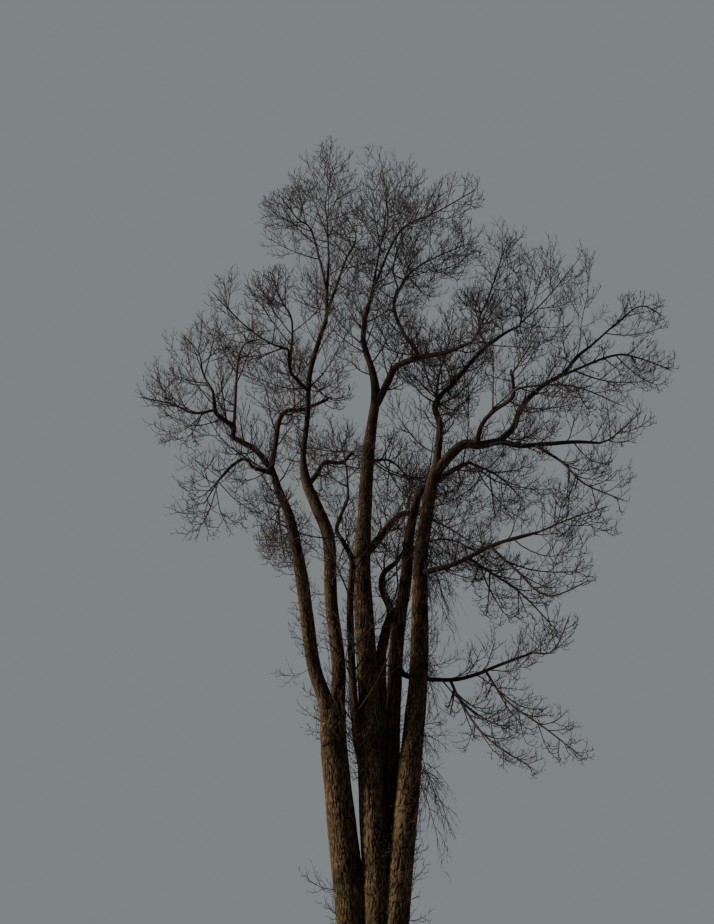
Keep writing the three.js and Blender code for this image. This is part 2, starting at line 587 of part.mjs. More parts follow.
// The side twigs of a mass leave its stem a golden angle apart, opening less towards its tip. Each is about
// as long as a share of the stem that is left beyond it, and is cut back to stay inside the mass's space.
function sideTwigs(space) {
  const twigs = [];
  const count = Math.round((TWIG_PER_METRE * space.length) / METRE);
  for (let k = 0; k < count; k++) {
    const seed = space.seed + k;
    const s = 0.07 + (0.87 * (k + chance(seed, 1))) / count;
    const ahead = space.stem(Math.min(s + 0.02, 1)).sub(space.stem(s - 0.02)).normalize();
    const level = Math.abs(ahead.z) < 0.9 ? UP : new THREE.Vector3(1, 0, 0);
    const side = new THREE.Vector3().crossVectors(ahead, level).normalize();
    const other = new THREE.Vector3().crossVectors(ahead, side);
    const turn = GOLDEN_ANGLE * k + 1.5 * chance(seed, 2);
    const opening = 0.95 - 0.35 * s + 0.3 * chance(seed, 3);
    const outwards = side.multiplyScalar(Math.cos(turn)).addScaledVector(other, Math.sin(turn));
    const heading = ahead.multiplyScalar(Math.cos(opening)).addScaledVector(outwards, Math.sin(opening));
    const twig = {
      origin: space.stem(s),
      heading,
      aside: new THREE.Vector3().crossVectors(heading, outwards),
      length: space.length * (1 - s) * (0.6 + 0.45 * chance(seed, 4)) + 0.3 * space.width,
      sag: space.sag,
      lift: space.lift,
      wave: 0.09 * (chance(seed, 5) - 0.5),
      phase: 6.28 * chance(seed, 6),
    };
    const least = LEAST_TWIG * space.width;
    while (twig.length > least && !belongs(space, twigPoint(twig, 1))) twig.length *= 0.88;
    if (twig.length <= least) continue;
    const clear = [0.25, 0.5, 0.75, 1].every((part) => {
      const point = twigPoint(twig, part);
      return !touchesLimb(space, point) && belongs(space, point);
    });
    if (!clear) continue;
    const thick = Math.max(0.68 * (space.radius * (1 - s) + STEM_TIP_RADIUS * s), 2 * TWIG_TIP_RADIUS);
    const line = Array.from({ length: TWIG_SEGMENTS + 1 }, (_, i) => twigPoint(twig, i / TWIG_SEGMENTS));
    const radii = line.map((_, i) => thick + ((TWIG_TIP_RADIUS - thick) * i) / TWIG_SEGMENTS);
    twigs.push(rod(line, radii, TWIG_SIDES));
  }
  return twigs;
}

function massBody(space) {
  const radii = space.line.map(
    (_, i) => space.radius + ((STEM_TIP_RADIUS - space.radius) * i) / STEM_SEGMENTS,
  );
  return wasm.Manifold.union([rod(space.line, radii, TWIG_SIDES + 1), ...sideTwigs(space)]);
}

// A body's outer skin, without any hollow that the joining sealed inside it.
function withoutHollows(body) {
  const shells = body.decompose();
  return shells.length === 1 ? body : shells.reduce((a, b) => (a.volume() > b.volume() ? a : b));
}

function named(name, body, material) {
  const { vertProperties, triVerts, numProp } = body.getMesh();
  const places = new Float32Array((vertProperties.length / numProp) * 3);
  for (let i = 0; i < places.length / 3; i++) {
    places.set(vertProperties.subarray(i * numProp, i * numProp + 3), 3 * i);
  }
  const geometry = new THREE.BufferGeometry();
  geometry.setAttribute('position', new THREE.BufferAttribute(places, 3));
  geometry.setIndex(new THREE.BufferAttribute(new Uint32Array(triVerts), 1));
  geometry.computeVertexNormals();
  const mesh = new THREE.Mesh(geometry, material);
  mesh.name = name;
  return mesh;
}

const tree = new THREE.Group();
tree.name = 'bare_winter_tree';
const grownLimbs = [];
for (const [name, body] of Object.entries(BODIES)) {
  const solid = cutClear(body(0), grownLimbs);
  grownLimbs.push(body(CLEAR));
  tree.add(named(name, solid, BARK));
}
const grownStems = [];
for (const space of SPACES) {
  const body = withoutHollows(cutClear(massBody(space), [...grownLimbs, ...grownStems]));
  tree.add(named(space.name, body, TWIG_BARK));
  const radii = space.line.map(
    (_, i) => space.radius + ((STEM_TIP_RADIUS - space.radius) * i) / STEM_SEGMENTS + CLEAR,
  );
  grownStems.push(rod(space.line, radii, TWIG_SIDES + 1));
}

export default tree;
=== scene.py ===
"""Bare winter tree: furrowed bark on the trunk and limbs, and masses of fine twigs that grow on from them.

Metres, +Z up, the foot's centre at the origin, -Y towards the viewer of the photograph.
"""

import math

import bpy
import numpy as np
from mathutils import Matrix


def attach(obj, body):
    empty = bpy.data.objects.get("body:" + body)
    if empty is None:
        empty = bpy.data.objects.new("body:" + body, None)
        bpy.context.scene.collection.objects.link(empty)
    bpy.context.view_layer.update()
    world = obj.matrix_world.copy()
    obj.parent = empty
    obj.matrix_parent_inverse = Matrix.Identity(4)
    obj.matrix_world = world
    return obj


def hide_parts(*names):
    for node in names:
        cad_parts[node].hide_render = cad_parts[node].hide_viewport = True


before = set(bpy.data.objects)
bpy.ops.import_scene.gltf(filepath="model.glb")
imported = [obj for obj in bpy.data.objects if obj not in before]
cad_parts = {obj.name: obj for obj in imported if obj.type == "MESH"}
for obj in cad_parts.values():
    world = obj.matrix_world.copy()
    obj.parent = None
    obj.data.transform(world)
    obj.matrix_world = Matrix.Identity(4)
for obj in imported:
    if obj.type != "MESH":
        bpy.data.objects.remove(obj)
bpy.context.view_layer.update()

# Where the photograph was taken from, and how far it looks up.
EYE = np.array([-0.335, -25.0, 1.6])
VIEW_DISTANCE = 25.0
LOOK_UP = math.radians(27.5)
LONG_SIDE_ANGLE = math.radians(45.0)
SENSOR = 36.0

# The short trunk: three lobes, one under each main stem, that run down into a flared foot. A lobe is its
# place across and in depth, and its radius.
FORK_HEIGHT = 3.5
CROTCH_HEIGHT = 3.8
LOBES = [(-0.43, 0.14, 0.275), (0.08, -0.04, 0.255), (0.465, -0.15, 0.245)]
LOBE_BLEND = 5  # a higher power keeps the furrows between the lobes sharper
LOBE_GATHER = 0.7  # how far the lobes draw in towards the foot
FOOT_THICKENING = 0.75
FLARE_WIDTH = 0.33
FLARE_HEIGHT = 0.42
BUTTRESSES = 7
TRUNK_CORNERS = 440

# A limb's route is [across, height, depth]: across and height as seen against an upright plane through
# the foot, and depth how far behind that plane the limb lies. Its radii are spread evenly over the route.
LIMBS = {
    "left_main_stem": {
        "route": [[-0.38, 2.7, 0.13], [-0.46, 3.9, 0.13], [-0.58, 5.1, 0.1],
                  [-0.75, 6.5, 0.03], [-0.86, 7.6, -0.05], [-0.88, 8.5, -0.1]],
        "radii": [0.27, 0.32, 0.33, 0.3, 0.295, 0.3],
    },
    "left_stem": {
        "route": [[-0.9, 7.5, -0.12], [-1.05, 8.45, -0.2], [-1.35, 9.4, -0.3],
                  [-1.63, 11.3, -0.7], [-1.85, 12.47, -1.0], [-2.01, 13.14, -1.15],
                  [-2.31, 13.88, -1.3], [-2.5, 14.5, -1.45]],
        "radii": [0.17, 0.16, 0.155, 0.12, 0.1, 0.08],
    },
    "left_middle_stem": {
        "route": [[-0.82, 7.5, 0], [-0.77, 8.5, 0.1], [-0.77, 9.45, 0.15], [-0.95, 10.9, 0.25],
                  [-1.02, 12.45, 0.3], [-1.32, 13.33, 0.35], [-1.6, 14.05, 0.4], [-1.7, 14.8, 0.4],
                  [-1.62, 15.85, 0.35], [-1.58, 17.2, 0.3], [-1.35, 18.3, 0.2], [-1.17, 19, 0.2],
                  [-1.16, 19.95, 0.2], [-1.12, 21.05, 0.1]],
        "radii": [0.2, 0.17, 0.16, 0.155, 0.155, 0.15, 0.13, 0.075, 0.07, 0.068, 0.064, 0.055, 0.045, 0.035],
    },
    "centre_stem": {
        "route": [[0.07, 2.7, -0.04], [0.08, 3.9, -0.05], [0.04, 5.1, -0.02], [-0.05, 7.16, 0.07],
                  [-0.06, 8.5, 0.11], [-0.19, 10.9, 0.1], [-0.21, 11.95, 0.1], [-0.14, 13.3, 0.1],
                  [-0.06, 14.65, 0.05], [0.05, 15.7, 0], [0.15, 16.5, 0], [0.09, 17.2, 0],
                  [-0.1, 17.95, -0.05], [-0.17, 18.4, -0.1], [-0.09, 19.1, -0.1], [0.1, 19.95, -0.1],
                  [0.19, 20.6, -0.1]],
        "radii": [0.25, 0.28, 0.29, 0.26, 0.235, 0.21, 0.18, 0.16, 0.13, 0.12, 0.085, 0.075, 0.065, 0.05,
                  0.04],
    },
    "slim_stem": {
        "route": [[-0.1, 6.5, 0.1], [-0.33, 7.6, -0.2], [-0.4, 8.5, -0.3],
                  [-0.46, 9.45, -0.35], [-0.5, 10.9, -0.4], [-0.45, 11.9, -0.6], [-0.66, 12.4, -1.1],
                  [-0.83, 12.8, -1.8], [-0.55, 13.6, -2.9]],
        "radii": [0.095, 0.09, 0.085, 0.075, 0.05, 0.035],
    },
    "right_stem": {
        "route": [[0.39, 2.7, -0.14], [0.5, 3.9, -0.15], [0.62, 5.1, -0.13], [0.81, 6.75, -0.07],
                  [0.95, 7.95, -0.02], [1.09, 9.2, 0], [1.16, 10.9, -0.05], [1.21, 11.95, -0.2],
                  [1.36, 13, -0.3], [1.51, 13.85, -0.4], [1.66, 14.5, -0.4]],
        "radii": [0.24, 0.265, 0.26, 0.235, 0.2, 0.165, 0.155, 0.14],
    },
    "right_leader": {
        "route": [[1.64, 14.3, -0.4], [1.76, 15.25, -0.3], [1.8, 15.7, -0.2],
                  [1.69, 16.2, -0.1], [1.83, 16.55, 0], [2.24, 17, 0.2], [2.94, 17.9, 0.6],
                  [3.62, 18.5, 1], [4.05, 18.75, 1.3]],
        "radii": [0.1, 0.09, 0.08, 0.06, 0.045, 0.035],
    },
    "right_middle_stem": {
        "route": [[0.27, 3.9, 0.12], [0.37, 5.3, 0.24], [0.44, 7.1, 0.45], [0.5, 8.5, 0.5],
                  [0.63, 10.2, 0.6], [0.84, 11.45, 0.75], [0.93, 12.5, 0.85], [1.1, 13.35, 0.9],
                  [1.26, 13.8, 0.95], [1.75, 14.15, 1], [2.2, 14.45, 1.4], [2.5, 14.6, 1.8]],
        "radii": [0.19, 0.185, 0.175, 0.165, 0.14, 0.11, 0.09, 0.07, 0.05],
    },
    "left_bough": {
        "route": [[-2.49, 14.4, -1.45], [-2.9, 14.95, -1.7], [-3.3, 15.2, -1.9],
                  [-3.5, 15.35, -2], [-3.5, 15.65, -2.1], [-3.71, 15.8, -2.3], [-3.98, 16.05, -2.5],
                  [-4.05, 16.4, -2.6], [-4.1, 16.7, -2.7]],
        "radii": [0.075, 0.065, 0.06, 0.05, 0.04],
    },
    "hanging_left_branch": {
        "route": [[-2.47, 14.3, -1.4], [-2.93, 14.45, -1.8], [-3.17, 14.7, -2.2],
                  [-3.49, 14.5, -2.8], [-3.8, 14.1, -3.3]],
        "radii": [0.045, 0.04, 0.03],
    },
    "hook_bough": {
        "route": [[-2.5, 14.4, -1.4], [-2.42, 15.1, -1], [-2.34, 15.8, -0.3],
                  [-2.15, 16.1, 0.3], [-1.73, 16.15, 1], [-1.1, 16.45, 2.2]],
        "radii": [0.07, 0.06, 0.045],
    },
    "left_high_bough": {
        "route": [[-1.6, 16.7, 0.3], [-1.91, 17.05, 0], [-2.1, 17.35, -0.3], [-2.17, 18, -0.6]],
        "radii": [0.05, 0.045, 0.04],
    },
    "burr_bough": {
        "route": [[-1.6, 13.9, 0.4], [-1.36, 14.25, 1], [-1.14, 14.6, 1.8], [-0.71, 14.6, 2.6],
                  [-0.46, 14.9, 3.2]],
        "radii": [0.07, 0.06, 0.045],
    },
    "centre_right_bough": {
        "route": [[0.18, 16.3, 0], [0.48, 17, -0.2], [0.7, 17.45, -0.5], [1.29, 17.73, -1],
                  [2, 17.9, -1.6], [2.74, 18.24, -2.2]],
        "radii": [0.1, 0.09, 0.065, 0.045],
    },
    "centre_rising_bough": {
        "route": [[1.25, 17.7, -1], [1.22, 18, -0.9], [0.95, 18.45, -0.6], [0.75, 18.95, -0.3],
                  [0.67, 19.5, 0], [0.79, 20, 0.2]],
        "radii": [0.055, 0.05, 0.035],
    },
    "twisted_bough": {
        "route": [[0.09, 6.2, 0.18], [0.2, 7.3, 0.3], [0.22, 8.5, 0.25], [0.22, 9.5, 0.2],
                  [0.34, 10.15, 0.2], [0.46, 10.65, 0.25], [0.27, 11.2, 0.4], [0.31, 11.6, 0.7],
                  [0.62, 11.9, 1.2], [0.8, 12.2, 1.7]],
        "radii": [0.1, 0.13, 0.13, 0.125, 0.115, 0.1, 0.085, 0.07, 0.055, 0.04],
    },
    "centre_inner_bough": {
        "route": [[-0.15, 12.1, 0.1], [0.2, 12.5, 0.7], [0.45, 12.85, 1.5], [0.75, 13.15, 2.5],
                  [1.1, 13.2, 3.4]],
        "radii": [0.1, 0.085, 0.06],
    },
    "great_right_bough": {
        "route": [[1.64, 14.3, -0.4], [2.02, 14.8, -0.5], [2.4, 15.13, -0.6],
                  [2.8, 15.1, -0.7], [3.3, 15.2, -0.8], [3.81, 15.08, -0.9], [4.46, 15.13, -1],
                  [5.23, 15.19, -1.2], [5.86, 15.16, -1.4]],
        "radii": [0.13, 0.12, 0.1, 0.065, 0.05, 0.035],
    },
    "right_high_reach": {
        "route": [[3.25, 15.18, -0.8], [3.67, 15.6, -0.6], [3.86, 16.07, -0.3],
                  [4.09, 16.43, 0], [4.6, 16.92, 0.5], [5.09, 17.23, 0.9], [5.51, 17.76, 1.3],
                  [5.95, 18.14, 1.6]],
        "radii": [0.085, 0.07, 0.055, 0.04],
    },
    "right_inner_bough": {
        "route": [[2.7, 15.12, -0.7], [2.88, 15.7, -1.1], [3.2, 16.1, -1.5], [3.7, 16.5, -2],
                  [3.76, 16.95, -2.3], [3.73, 17.35, -2.6]],
        "radii": [0.06, 0.05, 0.035],
    },
    "sweeping_bough": {
        "route": [[1.2, 11.6, -0.2], [1.91, 11.8, -0.6], [2.35, 12, -0.9], [2.9, 12.3, -1.3],
                  [3.45, 12.5, -1.7], [4.15, 12.7, -2.1]],
        "radii": [0.06, 0.05, 0.03],
    },
    "low_right_bough": {
        "route": [[0.58, 9.3, 0.55], [0.88, 9.05, 0.5], [1.8, 8.98, 0.2], [2.38, 9.1, 0],
                  [2.9, 9.31, -0.3], [3.73, 9.62, -0.9]],
        "radii": [0.06, 0.05, 0.04, 0.03],
    },
}

# A mass of twigs: its limb, how far along that limb its stem starts, the way of that stem written like a
# route, to the far end of its space, the half width of that space, and how its twigs sag and then lift.
MASSES = {
    "far_left_twigs": (
        "left_bough", 0.78,
        [[-4.58, 16.04, -2.6], [-5.14, 16.31, -2.7], [-6.15, 16.55, -2.9]], 1.7, 0.1, 0.3,
    ),
    "left_fan_twigs": (
        "left_bough", 1, [[-4.39, 17.23, -2.73], [-4.57, 17.92, -2.77], [-5.1, 18.56, -2.8]], 1.3, 0, 0.3,
    ),
    "left_inner_twigs": ("left_bough", 0.5, [[-3.45, 17.92, -1.97], [-2.88, 18.36, -1.9]], 1.2, 0, 0.3),
    "hanging_left_twigs": (
        "hanging_left_branch", 1, [[-3.86, 13.99, -3.95], [-4.15, 13.39, -4.6]], 1.2, 0.4, 0.1,
    ),
    "high_left_twigs": (
        "left_high_bough", 1, [[-2.72, 18.24, -1], [-3.44, 18.85, -1.3], [-4.49, 20.08, -1.6]], 1.5, 0, 0.3,
    ),
    "upper_left_twigs": (
        "left_high_bough", 0.7, [[-2.09, 18.88, -1], [-2.41, 19.61, -1.5], [-2.81, 20.69, -2]], 1.4, 0, 0.3,
    ),
    "left_crest_twigs": (
        "left_middle_stem", 0.92,
        [[-1.61, 21.95, -0.3], [-2.05, 22.46, -0.9], [-2.65, 23.42, -1.6]], 1.6, 0, 0.3,
    ),
    "left_top_twigs": (
        "left_middle_stem", 1, [[-1.19, 22.35, 0.1], [-1.23, 23.19, 0.15], [-0.9, 24.78, 0.2]], 1.5, 0, 0.3,
    ),
    "left_back_twigs": ("left_stem", 0.75, [[-2.1, 12, 3.4]], 0.85, 0.1, 0.4),
    "middle_crest_twigs": (
        "left_middle_stem", 0.86, [[-0.67, 20.9, 0.5], [-0.36, 21.74, 1], [-0.53, 22.31, 1.7]], 1.3, 0, 0.3,
    ),
    "hook_twigs": ("hook_bough", 1, [[-2.6, 17.4, 4.4]], 1.5, 0.1, 0.4),
    "burr_twigs": ("burr_bough", 1, [[-1.7, 14.6, 5.6]], 1.6, 0.2, 0.3),
    "front_slim_twigs": ("slim_stem", 1, [[-0.85, 15.6, -3.6]], 0.9, 0.1, 0.4),
    "centre_top_twigs": (
        "centre_stem", 1, [[0.34, 21.56, -0.05], [0.55, 22.53, 0], [0.34, 24.86, 0]], 1.5, 0, 0.3,
    ),
    "centre_crest_twigs": (
        "centre_stem", 0.94,
        [[0.88, 21.99, -0.5], [1.95, 22.68, -1.1], [3.29, 23.64, -1.8]], 1.05, 0.1, 0.4,
    ),
    "rising_twigs": (
        "centre_rising_bough", 1, [[0.67, 20.69, 0.6], [0.93, 21.67, 1.3], [1.42, 22.9, 2.2]], 1.3, 0, 0.3,
    ),
    "upper_right_twigs": (
        "centre_rising_bough", 0.8, [[0.99, 20.31, 0.3], [1.59, 20.9, 1], [3.02, 21.67, 1.9]], 1.5, 0, 0.4,
    ),
    "front_right_twigs": (
        "centre_right_bough", 1, [[2.92, 18.62, -2.55], [3.43, 19.87, -2.9]], 1.4, 0, 0.4,
    ),
    "middle_back_twigs": ("centre_stem", 0.5, [[1.5, 13.2, 4.2]], 1.4, 0.1, 0.4),
    "right_crest_twigs": (
        "right_leader", 0.78, [[2.96, 18.88, 0.8], [3.32, 19.87, 1.3], [4, 21.95, 2]], 1.3, 0, 0.3,
    ),
    "right_top_twigs": (
        "right_leader", 1, [[4.13, 18.88, 1.33], [4.86, 19.67, 1.37], [5.89, 21.04, 1.4]], 1.5, 0, 0.4,
    ),
    "right_back_twigs": ("right_leader", 0.35, [[1.85, 17.29, 1], [2.37, 18.88, 2.2]], 1.3, 0.1, 0.4),
    "far_right_twigs": (
        "right_high_reach", 1, [[6.72, 18.88, 1.63], [7.43, 19.41, 1.67], [8.04, 19.01, 1.7]], 1.15, 0, 0.3,
    ),
    "outer_right_twigs": (
        "right_high_reach", 0.66, [[6.42, 17.79, 0.6], [7.13, 17.73, 0.5], [8.08, 17.29, 0.4]], 1, 0.1, 0.3,
    ),
    "inner_right_twigs": ("right_inner_bough", 1, [[3.78, 17.29, -2.9], [4.59, 18.62, -3.2]], 1.4, 0, 0.4),
    "front_reach_twigs": (
        "right_inner_bough", 0.6,
        [[3.93, 16.8, -2.3], [5.3, 16.86, -2.6], [6.69, 16.19, -2.9]], 1.4, 0.2, 0.3,
    ),
    "long_right_twigs": ("great_right_bough", 1, [[6.24, 15.36, -1.6], [7.13, 16.19, -1.8]], 1.2, 0.1, 0.4),
    "drooping_right_twigs": (
        "great_right_bough", 0.7,
        [[4.85, 14.61, -1.27], [5.37, 13.99, -1.43], [6.39, 13.5, -1.6]], 1, 0.4, 0.2,
    ),
    "inner_back_twigs": ("right_middle_stem", 1, [[3.9, 13.4, 4.4]], 1.5, 0.3, 0.2),
    "back_twigs": ("centre_inner_bough", 1, [[2.6, 12.3, 5.8]], 1.6, 0.2, 0.3),
    "low_back_twigs": ("twisted_bough", 1, [[1.98, 12.47, 2.4], [3.29, 11.58, 3.2]], 1.3, 0.2, 0.4),
    "sweeping_twigs": ("sweeping_bough", 1, [[4.96, 13.06, -2.5], [5.98, 13.41, -2.9]], 1.2, 0.3, 0.3),
    "level_right_twigs": (
        "sweeping_bough", 0.4,
        [[2.86, 11.63, -0.2], [3.59, 11.07, 0.1], [4.41, 10.08, 0.4]], 0.95, 0.3, 0.2,
    ),
    "arching_twigs": (
        "sweeping_bough", 0.6,
        [[3.49, 11.69, -1.77], [4.21, 11.02, -2.03], [5.35, 11.48, -2.3]], 0.8, 0.4, 0.1,
    ),
    "low_rising_twigs": ("low_right_bough", 1, [[4.24, 9.69, -1.15], [4.72, 10.62, -1.4]], 0.85, 0.1, 0.4),
    "low_outer_twigs": (
        "low_right_bough", 0.7,
        [[3.05, 8.51, -0.7], [3.89, 7.87, -0.95], [4.79, 7.12, -1.2]], 0.58, 0.4, 0.1,
    ),
    "low_inner_twigs": (
        "low_right_bough", 0.4, [[2.05, 8.42, -0.4], [2.58, 7.65, -0.7], [3.72, 6.86, -1]], 0.62, 0.5, 0.1,
    ),
}
BEND = 0.12  # how far a stem with no middle point bows the way its limb is heading
SPACE_MIDDLE = 0.52  # how far along its stem a mass's space has its middle
STEM_SEGMENTS = 6
STEM_SHARE = 0.78  # of its limb's radius
STEM_FOOT_RADIUS = 0.042  # the thickest that a mass's stem may be
STEM_TIP_RADIUS = 0.011
TWIG_PER_METRE = 3.4  # side twigs for each metre of a mass's stem
FIRST_TWIG = 0.07  # how far along a mass's stem the first side twig may leave
TWIG_STRETCH = 0.87  # and the share of the stem from there on that has twigs
TWIG_SHARE = 0.68  # of the radius of the stem that a side twig leaves
TWIG_TIP_RADIUS = 0.005
TWIG_LIMB_GAP = 0.04
MOST_CUTS = 18
CUT_SHARE = 0.88  # what a cut leaves of a twig that is too long
LEAST_TWIG = 0.35  # of a mass's half width
SPACE_GAP = 0.05  # of a mass's half width, kept free along its border with the next mass
TWIG_OPENING = 0.95  # the least angle at which a side twig leaves the foot of its stem
TWIG_CLOSING = 0.35  # and how much less that is at the stem's tip
TWIG_WAVE = 0.09
TWIG_KINK = 0.008
GOLDEN_ANGLE = 2.39996
ABOUT_A_TURN = 6.28  # for random angles

UP = np.array([0.0, 0.0, 1.0])
EAST = np.array([1.0, 0.0, 0.0])


def unit(vectors):
    """Vectors scaled to length 1."""
    return vectors / np.maximum(np.linalg.norm(vectors, axis=-1, keepdims=True), 1e-12)


def chance(seed, draw):
    """A repeatable number from 0 to 1: what is left after the point of sin(13 seed + 78 draw) times 43758."""
    wave = np.sin(seed * 12.9898 + draw * 78.233) * 43758.5453
    return wave - np.floor(wave)


def along_sight(route):
    """Route points carried along the line of sight to their depth, so that they still look to be in place."""
    route = np.atleast_2d(np.array(route, float))
    plane = np.column_stack([route[:, 0], np.zeros(len(route)), route[:, 1]])
    return EYE + (plane - EYE) * (VIEW_DISTANCE + route[:, 2:3]) / VIEW_DISTANCE


def on_curve(points, t):
    """A smooth curve through the points, at each t from 0 to 1: cubic between two points, and heading at each
    along the line that joins its neighbours."""
    padded = np.vstack([2 * points[0] - points[1], points, 2 * points[-1] - points[-2]])
    place = np.clip(np.atleast_1d(t), 0, 1) * (len(points) - 1)
    span = np.minimum(place.astype(int), len(points) - 2)
    s = (place - span)[:, None]
    a, b, c, d = (padded[span + i] for i in range(4))
    return 0.5 * (
        a * (-s + 2 * s**2 - s**3)
        + b * (2 - 5 * s**2 + 3 * s**3)
        + c * (s + 4 * s**2 - 3 * s**3)
        + d * (s**3 - s**2)
    )


def spread(values, t):
    """The value at each t in a list of values spread evenly from 0 to 1."""
    return np.interp(t, np.linspace(0, 1, len(values)), values)


def square_directions(ahead):
    """Two directions square to each heading and to each other, the first level or nearly so."""
    level = np.where(np.abs(ahead[..., 2:3]) < 0.9, UP, EAST)
    side = unit(np.cross(ahead, level))
    return side, np.cross(ahead, side)


def segment_distance(points, start, end):
    """The distance from each point (rows) to each straight piece (columns)."""
    along = end - start
    offset = points[:, None] - start
    share = np.clip(np.einsum("nmk,mk->nm", offset, along) / np.einsum("mk,mk->m", along, along), 0, 1)
    return np.linalg.norm(offset - share[..., None] * along, axis=-1)


def placed(name, data):
    """A new object in the scene."""
    thing = bpy.data.objects.new(name, data)
    bpy.context.scene.collection.objects.link(thing)
    return thing


def new_mesh(name, vertices, faces, material, attributes=None):
    """A smooth piece from arrays of corners and triangles, with any values that the corners carry."""
    mesh = bpy.data.meshes.new(name)
    count, sides = faces.shape
    mesh.vertices.add(len(vertices))
    mesh.vertices.foreach_set("co", vertices.astype(np.float32).ravel())
    mesh.loops.add(count * sides)
    mesh.loops.foreach_set("vertex_index", faces.astype(np.int32).ravel())
    mesh.polygons.add(count)
    mesh.polygons.foreach_set("loop_start", np.arange(0, count * sides, sides, dtype=np.int32))
    mesh.update(calc_edges=True)
    mesh.shade_smooth()
    for key, values in (attributes or {}).items():
        layer = mesh.attributes.new(key, "FLOAT", "POINT")
        layer.data.foreach_set("value", values.astype(np.float32).ravel())
    mesh.materials.append(material)
    piece = placed(name, mesh)
    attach(piece, "root")
    return piece


# Bark: furrows run up each limb, closer together on a thin one, and plates lie between them.
FURROW_SPACING = 0.029
FEWEST_FURROWS = 9
PLATE_LENGTH = 0.12
CRACK_LENGTH = 0.35 * PLATE_LENGTH
FURROW_EDGE = 0.32  # how far the noise is from its middle value where a furrow ends and a plate begins
CRACK_EDGE = 0.35
CRACK_DEPTH = 0.3  # of a plate's height
DRIFT = 1.6  # furrows wander by this many of their spacings
DRIFT_LENGTH = 0.9
DRIFT_COLUMNS = 5  # changes of their drift round a limb
DEEPEST_FURROW = 0.022
TRUNK_FURROW = 0.0286
FURROW_SHARE = 0.09  # of a limb's radius, on limbs too thin for the deepest furrow
RING_SPACING = 0.036
CORNER_SPACING = 0.0125
FEWEST_CORNERS = 14
TRUNK_RINGS = 120
CROTCH_RINGS = 9
YOUNG_RADIUS = 0.06  # bark is still thin and dark on a limb of this radius
OLD_RADIUS = 0.2  # and fully plated from this radius on
SWELL = 0.07  # a limb bulges and narrows by this share of its radius in all
SWELL_LENGTH = 0.55

# Where limbs begin and end. The three stems that the trunk forks into draw in at the foot, so that they
# come out of its bark, and other limbs widen there into a collar. Tips draw in, most where a limb forks.
FORKED_FROM_TRUNK = ("left_main_stem", "centre_stem", "right_stem")
SUNK_SHARE = 0.16
SUNK_LENGTH = 0.9
WIDEST_COLLAR = 0.6
FORKED_TOPS = ("left_main_stem",)
TIP_LENGTH = 0.35
TIP_SHARE = 0.26
FORKED_TIP_SHARE = 0.65

# Algae and painted sunlit tint: a green film in patches, laid most on the west side, which faces the sun,
# so that it is partly algae and partly painted sunlit colour. It thins out with height.
ALGAE_AND_SUNLIT_TINT_MOST = 0.55
ALGAE_AND_SUNLIT_TINT_TOP = 19.0
ALGAE_AND_SUNLIT_TINT_FADE = 8.0
ALGAE_AND_SUNLIT_TINT_PATCH = 0.7
ALGAE_AND_SUNLIT_TINT_COLUMNS = 6  # patches round a limb

NO_WRAP = 997  # more steps than any limb has, so the noise doesn't come round


def lattice(x, y, wrap, seed):
    """Soft noise from 0 to 1: a seeded value at each whole number of x and y, blended between them by
    3u² - 2u³, with x coming round again after `wrap` steps."""
    column, row = np.floor(x), np.floor(y)
    u, v = x - column, y - row
    u, v = u * u * (3 - 2 * u), v * v * (3 - 2 * v)
    value = [
        [chance((column + i) % wrap + 57.0 * ((row + j) % NO_WRAP), seed) for i in (0, 1)] for j in (0, 1)
    ]
    low = value[0][0] * (1 - u) + value[0][1] * u
    high = value[1][0] * (1 - u) + value[1][1] * u
    return low * (1 - v) + high * v


def bark_height(turn, along, radius, seed):
    """How high the bark stands, 0 in a furrow to 1 on a plate. A furrow is where long, narrow noise crosses
    its middle value, so furrows wander, fork and join round long plates. Finer cracks split the plates."""
    mean = float(np.mean(radius))
    spacing = FURROW_SPACING * (0.5 + 2 * min(mean, 0.25))
    across = max(FEWEST_FURROWS, round(2 * math.pi * mean / spacing))
    x = turn / (2 * math.pi) * across
    drift = lattice(along / DRIFT_LENGTH, turn / (2 * math.pi) * DRIFT_COLUMNS, NO_WRAP, seed + 3) - 0.5
    coarse = lattice(x + DRIFT * drift, along / PLATE_LENGTH, across, seed)
    fine = lattice(2 * x + drift, along / CRACK_LENGTH, 2 * across, seed + 1)
    plates = np.clip(np.abs(2 * coarse - 1) / FURROW_EDGE, 0, 1)
    cracks = np.clip(np.abs(2 * fine - 1) / CRACK_EDGE, 0, 1)
    return plates * (1 - CRACK_DEPTH + CRACK_DEPTH * cracks)


def grid_faces(rings, corners):
    """Quads between rings of corners, each ring closed on itself, as two triangles each."""
    here = np.arange((rings - 1) * corners).reshape(rings - 1, corners)
    beside = np.roll(here, -1, axis=1)
    lower = np.stack([here, beside, beside + corners], axis=-1).reshape(-1, 3)
    upper = np.stack([here, beside + corners, here + corners], axis=-1).reshape(-1, 3)
    return np.vstack([lower, upper])


def closed_tube(rings):
    """One skin from rings of corners (ring, corner, xyz), each end closed on a pole at its ring's middle."""
    count, corners = rings.shape[:2]
    poles = np.stack([rings[0].mean(axis=0), rings[-1].mean(axis=0)])
    vertices = np.vstack([rings.reshape(-1, 3), poles])
    first = np.arange(corners)
    last = first + (count - 1) * corners
    start, end = count * corners, count * corners + 1
    foot = np.column_stack([np.full(corners, start), np.roll(first, -1), first])
    tip = np.column_stack([np.full(corners, end), last, np.roll(last, -1)])
    return vertices, np.vstack([grid_faces(count, corners), foot, tip])


def carried_sides(ahead):
    """A direction square to each heading of a line, turned as little as possible from one to the next."""
    side, _ = square_directions(ahead[:1])
    sides = [side[0]]
    for heading in ahead[1:]:
        left = sides[-1] - heading * (sides[-1] @ heading)
        sides.append(left / np.linalg.norm(left))
    return np.array(sides)


